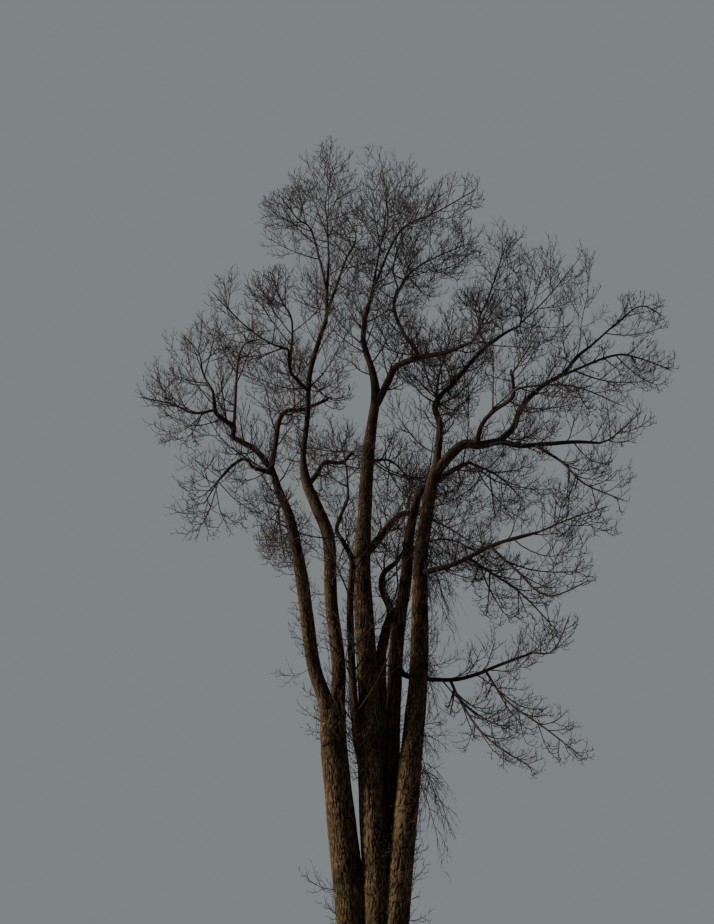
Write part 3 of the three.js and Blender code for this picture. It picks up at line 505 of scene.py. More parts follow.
def algae_and_sunlit_tint_on(outward, height, patches):
    """How much olive film a place of the bark has: green algae in patches, and with it a painted sunlit tint,
    most on the west side and a little on the viewer's side, which face the sun, and none high up in the
    crown."""
    # The sun comes from the west and a little from the viewer's side, so this mask lays the olive film on the
    # sunlit face as painted sunlit tint.
    sun_facing = np.clip(-0.8 * outward[..., 0] - 0.2 * outward[..., 1], 0, 1)
    low = np.clip((ALGAE_AND_SUNLIT_TINT_TOP - height) / ALGAE_AND_SUNLIT_TINT_FADE, 0, 1)
    return ALGAE_AND_SUNLIT_TINT_MOST * sun_facing * low * np.clip((patches - 0.4) * 2.2, 0, 1)


def skin_values(rings, outward, radius, bark, seed):
    """The bark's height, its age (0 on a thin limb, 1 on an old stem) and its algae with painted sunlit tint
    at each corner, with the mean of the end rings at the two poles."""
    turn = np.linspace(0, ALGAE_AND_SUNLIT_TINT_COLUMNS, rings.shape[1], endpoint=False)
    patches = lattice(turn, rings[..., 2] / ALGAE_AND_SUNLIT_TINT_PATCH, ALGAE_AND_SUNLIT_TINT_COLUMNS, seed + 7)
    age = np.clip((radius - YOUNG_RADIUS) / (OLD_RADIUS - YOUNG_RADIUS), 0, 1) + 0 * patches
    values = {"bark": bark, "age": age, "algae": age * algae_and_sunlit_tint_on(outward, rings[..., 2], patches)}
    return {key: np.append(rows.ravel(), [rows[0].mean(), rows[-1].mean()]) for key, rows in values.items()}


LINES = {name: along_sight(limb["route"]) for name, limb in LIMBS.items()}


def parent_radius(name):
    """The radius of the limb that this one leaves, where it leaves it."""
    start = LINES[name][:1]
    others = {other: line for other, line in LINES.items() if other != name}
    gaps = {other: segment_distance(start, line[:-1], line[1:])[0] for other, line in others.items()}
    parent = min(gaps, key=lambda other: gaps[other].min())
    at = (np.argmin(gaps[parent]) + 0.5) / len(gaps[parent])
    return float(spread(LIMBS[parent]["radii"], at))


def limb_skin(name, seed):
    """A limb's bark: rings square to its line, evenly spaced along it. Each corner stands off the line by the
    radius there, times a collar that dies away from the foot, less the depth of the bark's furrows. The
    stems that the trunk forks into have no collar: their feet draw in and so come out of the trunk's bark."""
    points, radii = LINES[name], LIMBS[name]["radii"]
    fine = np.linspace(0, 1, 600)
    walked = np.append(0, np.cumsum(np.linalg.norm(np.diff(on_curve(points, fine), axis=0), axis=1)))
    spacing = RING_SPACING * min(1.0, 0.45 + 4 * max(radii))
    steps = math.ceil(walked[-1] / spacing)
    along = np.linspace(0, walked[-1], steps + 1)
    t = np.interp(along, walked, fine)
    line = on_curve(points, t)
    ahead = unit(np.gradient(line, axis=0))
    side = carried_sides(ahead)
    other = np.cross(ahead, side)
    corners = max(FEWEST_CORNERS, round(2 * math.pi * max(radii) / CORNER_SPACING))
    turn = np.linspace(0, 2 * math.pi, corners, endpoint=False)
    radius = spread(radii, t)
    if name in FORKED_FROM_TRUNK:
        radius = radius * (1 - SUNK_SHARE * np.clip(1 - along / SUNK_LENGTH, 0, 1) ** 2)
    else:
        parent = parent_radius(name)
        collar = WIDEST_COLLAR * min(max((0.8 - radii[0] / parent) / 0.4, 0), 1)
        radius = radius * (1 + collar * np.exp(-along / (0.9 * parent + 1.3 * radii[0])))
    tapers = np.clip((along - walked[-1] + TIP_LENGTH) / TIP_LENGTH, 0, 1)
    radius = radius * (1 - (FORKED_TIP_SHARE * tapers**2 if name in FORKED_TOPS else TIP_SHARE * tapers))
    grid_turn, grid_along = np.meshgrid(turn, along)
    bark = bark_height(grid_turn, grid_along, radius, seed)
    depth = np.minimum(DEEPEST_FURROW, FURROW_SHARE * radius)[:, None]
    swell = 1 + SWELL * (lattice(grid_turn * 3 / (2 * math.pi), grid_along / SWELL_LENGTH, 3, seed + 5) - 0.5)
    reach = radius[:, None] * swell - depth * (1 - bark)
    outward = np.cos(grid_turn)[..., None] * side[:, None] + np.sin(grid_turn)[..., None] * other[:, None]
    rings = line[:, None] + reach[..., None] * outward
    vertices, faces = closed_tube(rings)
    return vertices, faces, skin_values(rings, outward, radius[:, None], bark, seed)


def trunk_reach(height, turn):
    """How far the trunk reaches from its axis: the reach of its three round lobes in that direction, blended
    as the fifth root of the sum of their fifth powers, and a flare that dies away up from the ground."""
    rise = np.minimum(height / FORK_HEIGHT, 1)
    gather = 1 - LOBE_GATHER * (1 - rise)
    swell = 1 + FOOT_THICKENING * (1 - rise) ** 1.8
    total = 0
    for across, depth, radius in LOBES:
        forward = gather * (across * np.cos(turn) + depth * np.sin(turn))
        aside = gather * (depth * np.cos(turn) - across * np.sin(turn))
        half = (radius * swell) ** 2 - aside**2
        lobe_reach = np.where(half > 0, forward + np.sqrt(np.maximum(half, 0)), 0)
        total = total + np.maximum(lobe_reach, 0) ** LOBE_BLEND
    buttress = (0.5 + 0.5 * np.sin(BUTTRESSES * turn + 0.8)) * (0.75 + 0.25 * np.sin(2 * turn))
    flare = FLARE_WIDTH * np.exp(-height / FLARE_HEIGHT) * (0.35 + 0.65 * buttress)
    return total ** (1 / LOBE_BLEND) + flare


def trunk_skin(seed):
    """The trunk's bark: level rings from the ground to the fork, each corner out by trunk_reach less the
    depth of the furrows, then rings that draw in to the crotch between the stems. The corners are evenly
    spaced round the girth, not round the clock."""
    fine = np.linspace(0, 2 * math.pi, 1441)
    reach = trunk_reach(0.7 * FORK_HEIGHT, fine)
    girth = np.hypot(np.diff(reach * np.cos(fine)), np.diff(reach * np.sin(fine)))
    walked = np.append(0, np.cumsum(girth))
    turn = np.interp(np.linspace(0, walked[-1], TRUNK_CORNERS, endpoint=False), walked, fine)
    lower, upper = (0, FORK_HEIGHT, TRUNK_RINGS), (FORK_HEIGHT, CROTCH_HEIGHT, CROTCH_RINGS)
    heights = np.append(np.linspace(*lower), np.linspace(*upper)[1:])
    grid_turn, grid_height = np.meshgrid(turn, heights)
    reach = trunk_reach(grid_height, grid_turn)
    even_turn = np.linspace(0, 2 * math.pi, TRUNK_CORNERS, endpoint=False)
    bark = bark_height(even_turn, grid_height, walked[-1] / (2 * math.pi), seed)
    reach = reach - TRUNK_FURROW * (1 - bark)
    drawn = np.clip((grid_height - FORK_HEIGHT) / (CROTCH_HEIGHT - FORK_HEIGHT), 0, 1)
    reach = reach * (1 - 0.5 * drawn**1.5)
    outward = np.stack([np.cos(grid_turn), np.sin(grid_turn), np.zeros_like(grid_turn)], axis=-1)
    rings = reach[..., None] * outward
    rings[..., 2] = grid_height
    vertices, faces = closed_tube(rings)
    return vertices, faces, skin_values(rings, outward, OLD_RADIUS, bark, seed)


class Space:
    """One mass's own room, a barrel with rounded ends, and the stem that its twigs grow on."""

    def __init__(self, name, index):
        limb, at, way, width, self.sag, self.lift = MASSES[name]
        line = LINES[limb]
        self.name, self.seed, self.width = name, 100 * (index + 1), width
        self.start = on_curve(line, at)[0]
        way = along_sight(way)
        self.end = way[-1]
        self.length = float(np.linalg.norm(self.end - self.start))
        if len(way) == 1:
            onwards = unit(self.start - on_curve(line, max(at - 0.08, 0))[0])
            way = np.vstack([0.6 * self.start + 0.4 * self.end + BEND * self.length * onwards, way])
        self.way = np.vstack([self.start, way])
        self.axis = unit(self.end - self.start)
        self.middle = self.start + SPACE_MIDDLE * (self.end - self.start)
        self.radius = min(STEM_SHARE * float(spread(LIMBS[limb]["radii"], at)), STEM_FOOT_RADIUS)
        self.nodes = self.stem(np.linspace(0, 1, STEM_SEGMENTS + 1))

    def stem(self, s):
        """Points on the stem: a smooth curve along its way to the far end."""
        return on_curve(self.way, s)

    def outness(self, points):
        """How far out each point lies, less than 1 being inside: the root of the fourth power of its share of
        the half length plus the square of its share of the half width."""
        offset = points - self.middle
        along = offset @ self.axis
        across = np.linalg.norm(offset - along[:, None] * self.axis, axis=1)
        return np.hypot((along / (SPACE_MIDDLE * self.length)) ** 2, across / self.width)

    def outside(self, points):
        """Whether each point is outside the room."""
        return self.outness(points) > 1


SPACES = [Space(name, index) for index, name in enumerate(MASSES)]
STARTS = np.array([space.start for space in SPACES])
ENDS = np.array([space.end for space in SPACES])
WIDTHS = np.array([space.width for space in SPACES])


def belongs(index, points):
    """Whether each point is inside this mass's space and nearer to it than to any other mass."""
    shares = segment_distance(points, STARTS, ENDS) / WIDTHS
    own = shares[:, index].copy()
    shares[:, index] = np.inf
    return (SPACES[index].outness(points) <= 1) & (own + SPACE_GAP < shares.min(axis=1))


def obstacles():
    """The straight pieces of every limb and every mass's stem: starts, ends, radii and owners."""
    starts, ends, reaches, owners = [], [], [], []
    for name, line in LINES.items():
        radii = spread(LIMBS[name]["radii"], np.linspace(0, 1, len(line)))
        starts.append(line[:-1])
        ends.append(line[1:])
        reaches.append(np.maximum(radii[:-1], radii[1:]))
        owners.append(np.full(len(line) - 1, -1))
    for index, space in enumerate(SPACES):
        starts.append(space.nodes[:-1])
        ends.append(space.nodes[1:])
        reaches.append(np.full(STEM_SEGMENTS, space.radius))
        owners.append(np.full(STEM_SEGMENTS, index))
    return np.vstack(starts), np.vstack(ends), np.concatenate(reaches), np.concatenate(owners)


OBSTACLES = obstacles()


def touches_limb(index, points):
    """Whether each point is on or too near a limb, or another mass's stem."""
    starts, ends, reaches, owners = OBSTACLES
    gaps = segment_distance(points, starts, ends) - reaches - TWIG_LIMB_GAP
    gaps[:, owners == index] = np.inf
    return (gaps < 0).any(axis=1)


def twig_point(twigs, s):
    """Where each twig is at share s of its length: straight on as it leaves, sagging and then lifting, with a
    slow sideways wave and small quick kinks."""
    s = np.broadcast_to(np.asarray(s, float), twigs["length"].shape)[:, None]
    length = twigs["length"][:, None]
    rise = (twigs["sag"] + twigs["lift"])[:, None] * s**2 - twigs["sag"][:, None] * s
    phase = twigs["phase"][:, None]
    wave = twigs["wave"][:, None] * (np.sin(4.4 * s + phase) - np.sin(phase))
    wave = wave + twigs["kink"][:, None] * (np.sin(12 * s + 2 * phase) - np.sin(2 * phase))
    return twigs["origin"] + length * (twigs["heading"] * s + UP * rise + twigs["aside"] * wave)


def twig_heading(twigs, s):
    """Which way each twig runs at share s of its length."""
    near = twig_point(twigs, np.clip(s - 0.02, 0, 1))
    return unit(twig_point(twigs, np.clip(s + 0.02, 0, 1)) - near)


def pick(twigs, keep):
    """The twigs of a set that a mask or a list of numbers keeps."""
    return {key: values[keep] for key, values in twigs.items()}


def side_headings(ahead, turn, opening):
    """Headings that open away from a stem's heading by an angle, in a direction round it."""
    side, other = square_directions(ahead)
    round_it = side * np.cos(turn)[:, None] + other * np.sin(turn)[:, None]
    return ahead * np.cos(opening)[:, None] + round_it * np.sin(opening)[:, None], round_it


def stem_twigs(index, per_metre, share, salt=0):
    """The side twigs of a mass's stem: a golden angle apart, opening less towards its tip, each about as long
    as a share of the stem that is left beyond it, and cut back to stay inside the mass's space. With a salt
    they are others, which grow between the first and keep only to the space itself."""
    space = SPACES[index]
    count = round(per_metre * space.length)
    k = np.arange(count)
    seed = space.seed + k + salt
    s = FIRST_TWIG + TWIG_STRETCH * (k + chance(seed, 1)) / count
    ahead = unit(space.stem(np.minimum(s + 0.02, 1)) - space.stem(s - 0.02))
    turn = GOLDEN_ANGLE * k + 1.5 * chance(seed, 2)
    opening = TWIG_OPENING - TWIG_CLOSING * s + 0.3 * chance(seed, 3)
    heading, round_it = side_headings(ahead, turn, opening)
    left = space.length * (1 - s) * (0.6 + 0.45 * chance(seed, 4)) + 0.3 * space.width
    host_thick = space.radius * (1 - s) + STEM_TIP_RADIUS * s
    twigs = {
        "origin": space.stem(s),
        "heading": heading,
        "length": share * left,
        "sag": np.full(count, float(space.sag)),
        "lift": np.full(count, float(space.lift)),
        "aside": np.cross(heading, round_it),
        "wave": TWIG_WAVE * (chance(seed, 5) - 0.5),
        "kink": np.full(count, TWIG_KINK),
        "phase": ABOUT_A_TURN * chance(seed, 6),
        "thick": np.maximum(TWIG_SHARE * host_thick, 2 * TWIG_TIP_RADIUS),
        "tip": np.full(count, TWIG_TIP_RADIUS),
        "seed": seed.astype(float),
        "tint": np.floor(3 * chance(seed, 9)),
    }
    least = LEAST_TWIG * space.width
    for _ in range(MOST_CUTS):
        tips = twig_point(twigs, 1.0)
        outside = (space.outside(tips) if salt else ~belongs(index, tips)) & (twigs["length"] > least)
        twigs["length"] = np.where(outside, twigs["length"] * CUT_SHARE, twigs["length"])
    clear = twigs["length"] > least
    if salt:
        return pick(twigs, clear)
    for part in (0.25, 0.5, 0.75, 1.0):
        points = twig_point(twigs, part)
        clear &= ~touches_limb(index, points) & belongs(index, points)
    return pick(twigs, clear)


# Finer twigs, which only this model has.
LAST_FINE_TWIG = 0.97  # how far along its parent the last one may leave
FINE_SHARE = 0.62  # of its parent's radius
FINE_KINK = 0.2
FINE_CUTS = 6
FINE_CUT_SHARE = 0.75
SEEDS = 99991  # how many seeds finer twigs share


def finer_twigs(outside, parents, rule, draw):
    """The next finer twigs on each parent: so many to a metre, a golden angle apart, each about as long as a
    share of the parent that is left beyond it, and cut back where a test says that it is outside."""
    wanted = np.round(rule["per_metre"] * parents["length"])
    counts = np.clip(wanted, rule["fewest"], rule["most"]).astype(int)
    owner = np.repeat(np.arange(len(counts)), counts)
    k = np.arange(len(owner)) - np.repeat(np.cumsum(counts) - counts, counts)
    hosts = pick(parents, owner)
    seed = (hosts["seed"] * 7 + 13 * k + 5) % SEEDS
    s = rule["from"] + (LAST_FINE_TWIG - rule["from"]) * (k + chance(seed, draw)) / counts[owner]
    ahead = twig_heading(hosts, s)
    turn = GOLDEN_ANGLE * k + ABOUT_A_TURN * chance(hosts["seed"], draw + 1)
    opening = rule["opening"] * (1.1 - 0.35 * s) * (0.7 + 0.6 * chance(seed, draw + 2))
    heading, round_it = side_headings(ahead, turn, opening)
    heading = unit(heading + UP * rule["reach_up"])
    host_thick = hosts["thick"] + (hosts["tip"] - hosts["thick"]) * s
    left = hosts["length"] * (1 - s) + rule["beyond"]
    twigs = {
        "origin": twig_point(hosts, s),
        "heading": heading,
        "length": rule["share"] * left * (0.55 + 0.9 * chance(seed, draw + 3)),
        "sag": 0.6 * hosts["sag"],
        "lift": hosts["lift"] * 0.8 + 0.1,
        "aside": np.cross(heading, round_it),
        "wave": rule["wave"] * (chance(seed, draw + 4) - 0.5),
        "kink": FINE_KINK * (chance(seed, draw + 7) - 0.5),
        "phase": ABOUT_A_TURN * chance(seed, draw + 5),
        "thick": np.clip(FINE_SHARE * host_thick, rule["thin"], rule["thick"]),
        "tip": np.full(len(s), rule["tip"]),
        "seed": seed,
        "tint": np.where(rule["deals_tint"], np.floor(3 * chance(seed, draw + 6)), hosts["tint"]),
    }
    return kept_inside(outside, twigs) if outside else twigs


def kept_inside(outside, twigs):
    """Twigs cut back until their tips are no longer outside, and left out where that takes too much."""
    for _ in range(FINE_CUTS):
        too_far = outside(twig_point(twigs, 1.0))
        twigs["length"] = np.where(too_far, FINE_CUT_SHARE * twigs["length"], twigs["length"])
    return pick(twigs, ~outside(twig_point(twigs, 1.0)))


def outside_crown(points):
    """Whether each point is outside every mass's space and away from every limb."""
    starts, ends, reaches, owners = OBSTACLES
    limbs = owners < 0
    gaps = segment_distance(points, starts[limbs], ends[limbs]) - reaches[limbs]
    outside = gaps.min(axis=1) > LIMB_ROOM
    for space in SPACES:
        outside &= space.outside(points)
    return outside


# The three finer orders: how many to a metre and where they start on their parent, how they open and rise,
# how long they are for what is left of the parent, how they wave, how thick they may be, and whether each
# is dealt a tint of its own or keeps its parent's.
BRANCHLETS = {
    "per_metre": 6.5, "fewest": 3, "most": 15, "from": 0.28, "opening": 0.95, "reach_up": 0.05, "share": 0.62,
    "beyond": 0.3, "wave": 0.3, "thick": 0.017, "thin": 0.008, "tip": 0.005, "deals_tint": True,
}
SHOOTS = {
    "per_metre": 8.0, "fewest": 2, "most": 11, "from": 0.25, "opening": 0.95, "reach_up": 0.08, "share": 0.48,
    "beyond": 0.2, "wave": 0.3, "thick": 0.009, "thin": 0.006, "tip": 0.0045, "deals_tint": False,
}
TWIGLETS = {
    "per_metre": 8.0, "fewest": 1, "most": 5, "from": 0.2, "opening": 1.0, "reach_up": 0.1, "share": 0.45,
    "beyond": 0.16, "wave": 0.3, "thick": 0.006, "thin": 0.005, "tip": 0.004, "deals_tint": False,
}

# Twigs on the limbs themselves: branches along the thinner limbs between the masses, short shoots out of
# the old stems, and long strands that hang down the outer side of the right stem. They come in clusters,
# each so many metres of limb long, of which only a share is grown. The outer number says how far a twig
# must head away from the tree's middle, and outreach how far out it goes for its length.
LIMB_ROOM = 1.0
BOUGH_BRANCHES = {
    "per_metre": 3.0, "limb_radii": (0, 0.105), "cluster": 1.0, "clusters": 1.0, "outer": -1, "draw": 1,
    "opening": 0.8, "spread": 0.5, "outreach": 1.0, "shortest": 0.5, "longest": 2.6, "sag": 0.12,
    "lift": 0.35, "kink": 0.1, "thick": 0.024, "share": 0.4,
}
STEM_SHOOTS = {
    "per_metre": 22.0, "limb_radii": (0.075, 1), "cluster": 0.6, "clusters": 0.5, "outer": -0.2, "draw": 3,
    "opening": 1.15, "spread": 0.6, "outreach": 1.0, "shortest": 0.1, "longest": 0.9, "sag": 0.4,
    "lift": 0.2, "kink": 0.1, "thick": 0.009, "share": 0.12,
}
HANGING_STRANDS = {
    "per_metre": 20.0, "limb_radii": (0.12, 1), "cluster": 0.8, "clusters": 0.65, "outer": 0.2, "draw": 5,
    "opening": 1.2, "spread": 0.6, "outreach": 0.5, "shortest": 0.3, "longest": 1.7, "sag": -0.1,
    "lift": -0.9, "kink": 0.25, "thick": 0.012, "share": 0.12,
}
HUNG_LIMBS = ("right_stem",)


def limb_twigs(name, rule):
    """Twigs that leave a limb a golden angle apart, at even random distances, where its radius is in the
    rule's range. Most are short: the length goes by the square of a random number."""
    points, radii = LINES[name], LIMBS[name]["radii"]
    walked = np.linalg.norm(np.diff(on_curve(points, np.linspace(0, 1, 80)), axis=0), axis=1).sum()
    count = round(rule["per_metre"] * float(walked))
    number = list(LIMBS).index(name)
    k = np.arange(count)
    seed = 40.0 * (1 + number) + 1000 * rule["draw"] + k
    t = 0.03 + 0.95 * (k + chance(seed, 1)) / count
    ahead = unit(on_curve(points, np.minimum(t + 0.01, 1)) - on_curve(points, np.maximum(t - 0.01, 0)))
    turn = GOLDEN_ANGLE * k + 1.5 * chance(seed, 2)
    heading, round_it = side_headings(ahead, turn, rule["opening"] + rule["spread"] * (chance(seed, 3) - 0.3))
    radius = spread(radii, t)
    length = rule["shortest"] + (rule["longest"] - rule["shortest"]) * chance(seed, 4) ** 2
    twigs = {
        "origin": on_curve(points, t),
        "heading": rule["outreach"] * heading,
        "length": length + radius,
        "sag": rule["sag"] * 2 * chance(seed, 5),
        "lift": rule["lift"] * 2 * chance(seed, 6),
        "aside": np.cross(heading, round_it),
        "wave": 0.3 * (chance(seed, 7) - 0.5),
        "kink": rule["kink"] * (chance(seed, 10) - 0.5),
        "phase": ABOUT_A_TURN * chance(seed, 8),
        "thick": np.clip(rule["share"] * radius, 0.006, rule["thick"]),
        "tip": np.full(count, TWIG_TIP_RADIUS),
        "seed": seed,
        "tint": np.floor(3 * chance(seed, 9)),
    }
    thinnest, thickest = rule["limb_radii"]
    cluster = chance(np.floor(t * walked / rule["cluster"]), rule["draw"] + number)
    outer = np.sum(heading[:, :2] * unit(twigs["origin"][:, :2]), axis=1) > rule["outer"]
    return pick(twigs, (radius >= thinnest) & (radius <= thickest) & (cluster < rule["clusters"]) & outer)


def limb_parts(name):
    """All the twigs on one limb itself, with their finer orders."""
    shoots = limb_twigs(name, STEM_SHOOTS)
    if name in HUNG_LIMBS:
        shoots = joined(shoots, limb_twigs(name, HANGING_STRANDS))
    branches = kept_inside(outside_crown, limb_twigs(name, BOUGH_BRANCHES))
    shoot_rules = [(None, 4, 3, None), (SHOOTS, 3, 3, 50), (TWIGLETS, 1, 3, 60)]
    branch_rules = [(None, 8, 4, None), (BRANCHLETS, 6, 3, 80), (SHOOTS, 3, 3, 90), (TWIGLETS, 1, 3, 100)]
    return spray_parts(None, shoots, shoot_rules) + spray_parts(outside_crown, branches, branch_rules)


def twig_tubes(lines, thick, tip, sides):
    """Closed thin tubes along many lines at once (line, point, xyz): rings of corners square to each line,
    narrowing evenly from thick to tip, with the last point alone as a sharp end and a cap on the foot."""
    count, points = lines.shape[:2]
    ahead = unit(np.gradient(lines, axis=1))
    side, _ = square_directions(ahead[:, :1])
    side = unit(side - np.einsum("npk,npk->np", np.broadcast_to(side, ahead.shape), ahead)[..., None] * ahead)
    other = np.cross(ahead, side)
    turn = np.linspace(0, 2 * math.pi, sides, endpoint=False)
    share = np.linspace(0, 1, points)
    radius = thick[:, None] + (tip - thick)[:, None] * share
    rings = lines[:, :-1, None] + radius[:, :-1, None, None] * (
        np.cos(turn)[:, None] * side[:, :-1, None] + np.sin(turn)[:, None] * other[:, :-1, None]
    )
    vertices = np.concatenate([rings.reshape(count, -1, 3), lines[:, -1:]], axis=1)
    ring_count = points - 1
    body = grid_faces(ring_count, sides) if ring_count > 1 else np.zeros((0, 3), int)
    last = np.arange(sides) + (ring_count - 1) * sides
    end = np.column_stack([last, np.roll(last, -1), np.full(sides, ring_count * sides)])
    foot = np.array([[0, i + 1, i] for i in range(1, sides - 1)])
    faces = np.vstack([body, end, foot])
    each = vertices.shape[1]
    all_faces = faces[None] + (np.arange(count) * each)[:, None, None]
    return vertices.reshape(-1, 3), all_faces.reshape(-1, 3)


def twig_lines(twigs, segments):
    """Each twig's line as evenly spaced points."""
    return np.stack([twig_point(twigs, s) for s in np.linspace(0, 1, segments + 1)], axis=1)


def joined(*groups):
    """Sets of twigs as one set."""
    return {key: np.concatenate([group[key] for group in groups]) for key in groups[0]}


def spray_parts(outside, order, rules):
    """A set of twigs and all the finer ones on them: (vertices, faces, tint of each twig) for each order. A
    row of rules is an order's rule, with none for the set itself, its segments and sides, and first draw."""
    parts = []
    for rule, segments, sides, draw in rules:
        if rule is not None:
            order = finer_twigs(outside, order, rule, draw)
        if len(order["length"]) == 0:
            break
        vertices, faces = twig_tubes(twig_lines(order, segments), order["thick"], order["tip"], sides)
        parts.append((vertices, faces, order["tint"]))
    return parts


def mass_parts(index):
    """All the wood of one mass: its stem, the side twigs that the solid has, more between them, and three
    finer orders."""
    space = SPACES[index]
    stem_line = space.stem(np.linspace(0, 1, 13))[None]
    vertices, faces = twig_tubes(stem_line, np.array([space.radius]), np.array([STEM_TIP_RADIUS]), 8)
    main = stem_twigs(index, TWIG_PER_METRE, 1.0)
    between = stem_twigs(index, 0.6 * TWIG_PER_METRE, 0.7, salt=37)
    rules = [(None, 8, 4, None), (BRANCHLETS, 6, 3, 10), (SHOOTS, 3, 3, 20), (TWIGLETS, 1, 3, 30)]
    return [(vertices, faces, np.zeros(1))] + spray_parts(space.outside, joined(main, between), rules)


def hex_colour(code):
    """An sRGB hex colour as linear red, green, blue and alpha."""
    channels = [int(code[i : i + 2], 16) / 255 for i in (1, 3, 5)]
    linear = [c / 12.92 if c <= 0.04045 else ((c + 0.055) / 1.055) ** 2.4 for c in channels]
    return (*linear, 1.0)


def add(tree, kind, links=(), **settings):
    """Adds a node, sets its sockets (in_NAME) and properties, and links (from_socket, to_input) into it."""
    node = tree.nodes.new(kind)
    for key, value in settings.items():
        if key.startswith("in_"):
            node.inputs[key[3:].replace("_", " ")].default_value = value
        else:
            setattr(node, key, value)
    for source, target in links:
        tree.links.new(source, node.inputs[target])
    return node


def noise(tree, vector, scale, detail, roughness=0.5):
    """The socket that gives cloudy noise at a place."""
    node = add(tree, "ShaderNodeTexNoise", [(vector, "Vector")],
               in_Scale=scale, in_Detail=detail, in_Roughness=roughness)
    return node.outputs["Fac"]


# The sockets of a mix node that mixes colours.
MIX_FACTOR, MIX_FIRST, MIX_SECOND, MIX_RESULT = 0, 6, 7, 2


def mixed(tree, blend, factor, first, second):
    """The socket that gives two colours mixed. Each of the two is a socket or a plain colour."""
    node = add(tree, "ShaderNodeMix", [(factor, MIX_FACTOR)], data_type="RGBA", blend_type=blend)
    for target, colour in ((MIX_FIRST, first), (MIX_SECOND, second)):
        if isinstance(colour, bpy.types.NodeSocket):
            tree.links.new(colour, node.inputs[target])
        else:
            node.inputs[target].default_value = colour
    return node.outputs[MIX_RESULT]


def blank_material(name, **inputs):
    """A new material, its node tree, and its surface shader with these inputs set."""
    material = bpy.data.materials.new(name)
    material.use_nodes = True
    shader = material.node_tree.nodes["Principled BSDF"]
    for key, value in inputs.items():
        shader.inputs[key.replace("_", " ")].default_value = value
    return material, material.node_tree, shader


def furrowed_bark():
    """Old bark of a broad-leaved tree, split by growth into long plates with deep furrows between them.
    The plates weather to a dull grey-brown, ochre where flakes have come off; the furrows are darker, partly
    their own colour and partly painted shade. Green algae lie in patches, with a painted sunlit olive tint on
    the side facing the sun. It is dry and rough, so it has hardly any sheen."""
    material, tree, shader = blank_material(
        "weathered furrowed bark", Roughness=0.9, IOR=1.45, Specular_IOR_Level=0.15
    )
    carried = [add(tree, "ShaderNodeAttribute", attribute_name=key) for key in ("bark", "algae", "age")]
    bark, algae, age = (node.outputs["Fac"] for node in carried)
    place = add(tree, "ShaderNodeTexCoord").outputs["Object"]
    grain = add(tree, "ShaderNodeMapping", [(place, "Vector")], in_Scale=(1.0, 1.0, 0.3)).outputs["Vector"]
    flakes = noise(tree, grain, 24.0, 5.0, 0.65)
    fibres = noise(tree, grain, 110.0, 3.0, 0.6)
    patches = noise(tree, place, 1.6, 3.0)
    # Painted shade: stands is the bark's height, so the ramp below lays near-black in the sunk furrows and
    # cracks; that darkness is partly the furrows' own bark and partly painted shade.
    stands = add(tree, "ShaderNodeMath", [(bark, 0), (flakes, 1)], operation="MULTIPLY")
    plate_and_furrow_shade_ramp = add(tree, "ShaderNodeValToRGB", [(stands.outputs[0], "Fac")])
    stops = plate_and_furrow_shade_ramp.color_ramp.elements
    stops[0].position, stops[0].color = 0.04, hex_colour("#0d0805")
    stops[1].position, stops[1].color = 0.62, hex_colour("#5e4c36")
    stops.new(0.3).color = hex_colour("#2c2117")
    contrast = add(tree, "ShaderNodeMapRange", [(patches, "Value")], in_From_Min=0.42, in_From_Max=0.62)
    plates = mixed(tree, "MULTIPLY", contrast.outputs["Result"], plate_and_furrow_shade_ramp.outputs["Color"], hex_colour("#b3a89c"))
    aged = mixed(tree, "MIX", age, hex_colour("#211710"), plates)
    # Painted sunlit tint: the olive #464221 lies on the bark's sun-facing side, partly as algae and partly in
    # place of the colour that sunlight gives.
    with_algae_and_sunlit_tint = mixed(tree, "MIX", algae, aged, hex_colour("#464221"))
    bump = add(tree, "ShaderNodeBump", [(fibres, "Height")], in_Strength=0.6, in_Distance=0.008)
    tree.links.new(with_algae_and_sunlit_tint, shader.inputs["Base Color"])
    tree.links.new(bump.outputs["Normal"], shader.inputs["Normal"])
    return material


def twig_bark(name, colour):
    """Smooth young bark on thin twigs: one plain colour a spray, with the slight sheen of its waxy skin."""
    sheen = {"Roughness": 0.7, "IOR": 1.45, "Specular_IOR_Level": 0.25}
    return blank_material(name, Base_Color=hex_colour(colour), **sheen)[0]


BARK = furrowed_bark()
TINTS = {
    "grey_twigs": twig_bark("grey-brown twig bark", "#221a15"),
    "dark_twigs": twig_bark("dark twig bark", "#191310"),
    "red_twigs": twig_bark("red-brown young twig bark", "#311b13"),
}
MOST_TRIANGLES = 190000  # in one piece of joined twigs
TRUNK_SEED = 31
LIMB_SEEDS = 17  # apart from each other


def bark_pieces():
    """One closed skin of bark in place of the trunk and of each limb."""
    for number, name in enumerate(["trunk", *LIMBS]):
        if name == "trunk":
            vertices, faces, values = trunk_skin(TRUNK_SEED)
        else:
            vertices, faces, values = limb_skin(name, TRUNK_SEED + LIMB_SEEDS * number)
        piece = new_mesh(f"{name}_bark", vertices, faces, BARK, values)
        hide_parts(name)


def sheaves_by_tint():
    """For each tint, sheaves of like twigs: the mass or limb they grow on, the corners of each twig, and the
    faces of one. A new sheaf is begun when one holds as many triangles as a piece may have."""
    sheaves = [[[]] for _ in TINTS]
    filled = [0] * len(TINTS)
    sources = [(space.name, mass_parts(index)) for index, space in enumerate(SPACES)]
    sources += [(name, limb_parts(name)) for name in LIMBS]
    for name, parts in sources:
        for vertices, faces, tints in parts:
            by_twig = vertices.reshape(len(tints), -1, 3)
            one_twig = faces[: len(faces) // len(tints)]
            for tint in range(len(TINTS)):
                chosen = by_twig[tints == tint]
                if len(chosen) == 0:
                    continue
                added = len(chosen) * len(one_twig)
                if filled[tint] + added > MOST_TRIANGLES:
                    sheaves[tint].append([])
                    filled[tint] = 0
                filled[tint] += added
                sheaves[tint][-1].append((name, chosen, one_twig))
    return sheaves


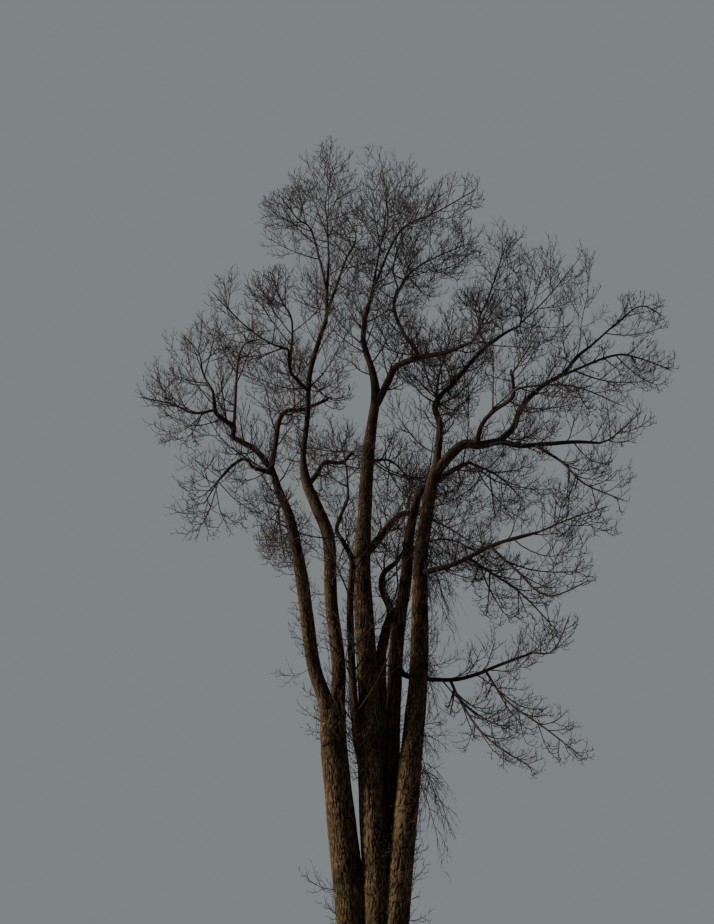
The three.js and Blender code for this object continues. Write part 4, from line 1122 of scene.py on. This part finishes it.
def lay_end_to_end(sheaf):
    """One array of corners and one of faces from many sets of like twigs."""
    vertices, faces, start = [], [], 0
    for _, twigs, one_twig in sheaf:
        count, each = twigs.shape[:2]
        vertices.append(twigs.reshape(-1, 3))
        faces.append((one_twig[None] + (start + np.arange(count) * each)[:, None, None]).reshape(-1, 3))
        start += count * each
    return np.vstack(vertices), np.vstack(faces)


def twig_pieces():
    """The twigs of each tint, joined into pieces that stay well under 200,000 triangles."""
    for (tint, twig_material), sheaves in zip(TINTS.items(), sheaves_by_tint()):
        for number, sheaf in enumerate(sheaves, start=1):
            vertices, faces = lay_end_to_end(sheaf)
            piece = new_mesh(f"{tint}_{number}", vertices, faces, twig_material)
            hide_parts(*sorted({name for name, _, _ in sheaf}))


# The studio: a floor far wider than the tree's shadow is long, and a low sun from the photo's left that
# comes a little from the viewer's side.
FLOOR_HALF = 120.0
FLOOR_DROP = 0.002
SUN_HEIGHT = math.radians(18)
SUN_SIDE = math.radians(-85)
SUN_SOFTNESS = math.radians(8)


def plain_floor():
    """A wide pale sheet of smooth painted board under the tree."""
    mesh = bpy.data.meshes.new("studio_floor")
    signs = [(-1, -1), (1, -1), (1, 1), (-1, 1)]
    corners = [(x * FLOOR_HALF, y * FLOOR_HALF, 0) for x, y in signs]
    mesh.from_pydata(corners, [], [(0, 1, 2, 3)])
    floor = placed("studio_floor", mesh)
    floor.location.z = -FLOOR_DROP
    board = blank_material("matt painted board", Base_Color=hex_colour("#a6a8a9"), Roughness=0.8)[0]
    mesh.materials.append(board)


def studio_light():
    """A soft sun and an even pale surround."""
    world = bpy.data.worlds.new("pale surround")
    world.use_nodes = True
    background = world.node_tree.nodes["Background"]
    background.inputs["Color"].default_value = hex_colour("#d5dde2")
    background.inputs["Strength"].default_value = 0.32
    bpy.context.scene.world = world
    sun = bpy.data.lights.new("soft key", "SUN")
    sun.energy = 8.5
    sun.angle = SUN_SOFTNESS
    sun.color = (1.0, 0.9, 0.78)
    placed("soft key", sun).rotation_euler = (math.pi / 2 - SUN_HEIGHT, 0, SUN_SIDE)


def photo_camera():
    """The camera at the photo's place and tilt. The lens gives the view's angle along the long side."""
    data = bpy.data.cameras.new("photo view")
    data.sensor_width = SENSOR
    data.lens = SENSOR / 2 / math.tan(LONG_SIDE_ANGLE / 2)
    data.clip_end = 500
    camera = placed("photo view", data)
    camera.location = EYE
    camera.rotation_euler = (math.pi / 2 + LOOK_UP, 0, 0)
    bpy.context.scene.camera = camera


bark_pieces()
twig_pieces()
plain_floor()
studio_light()
photo_camera()
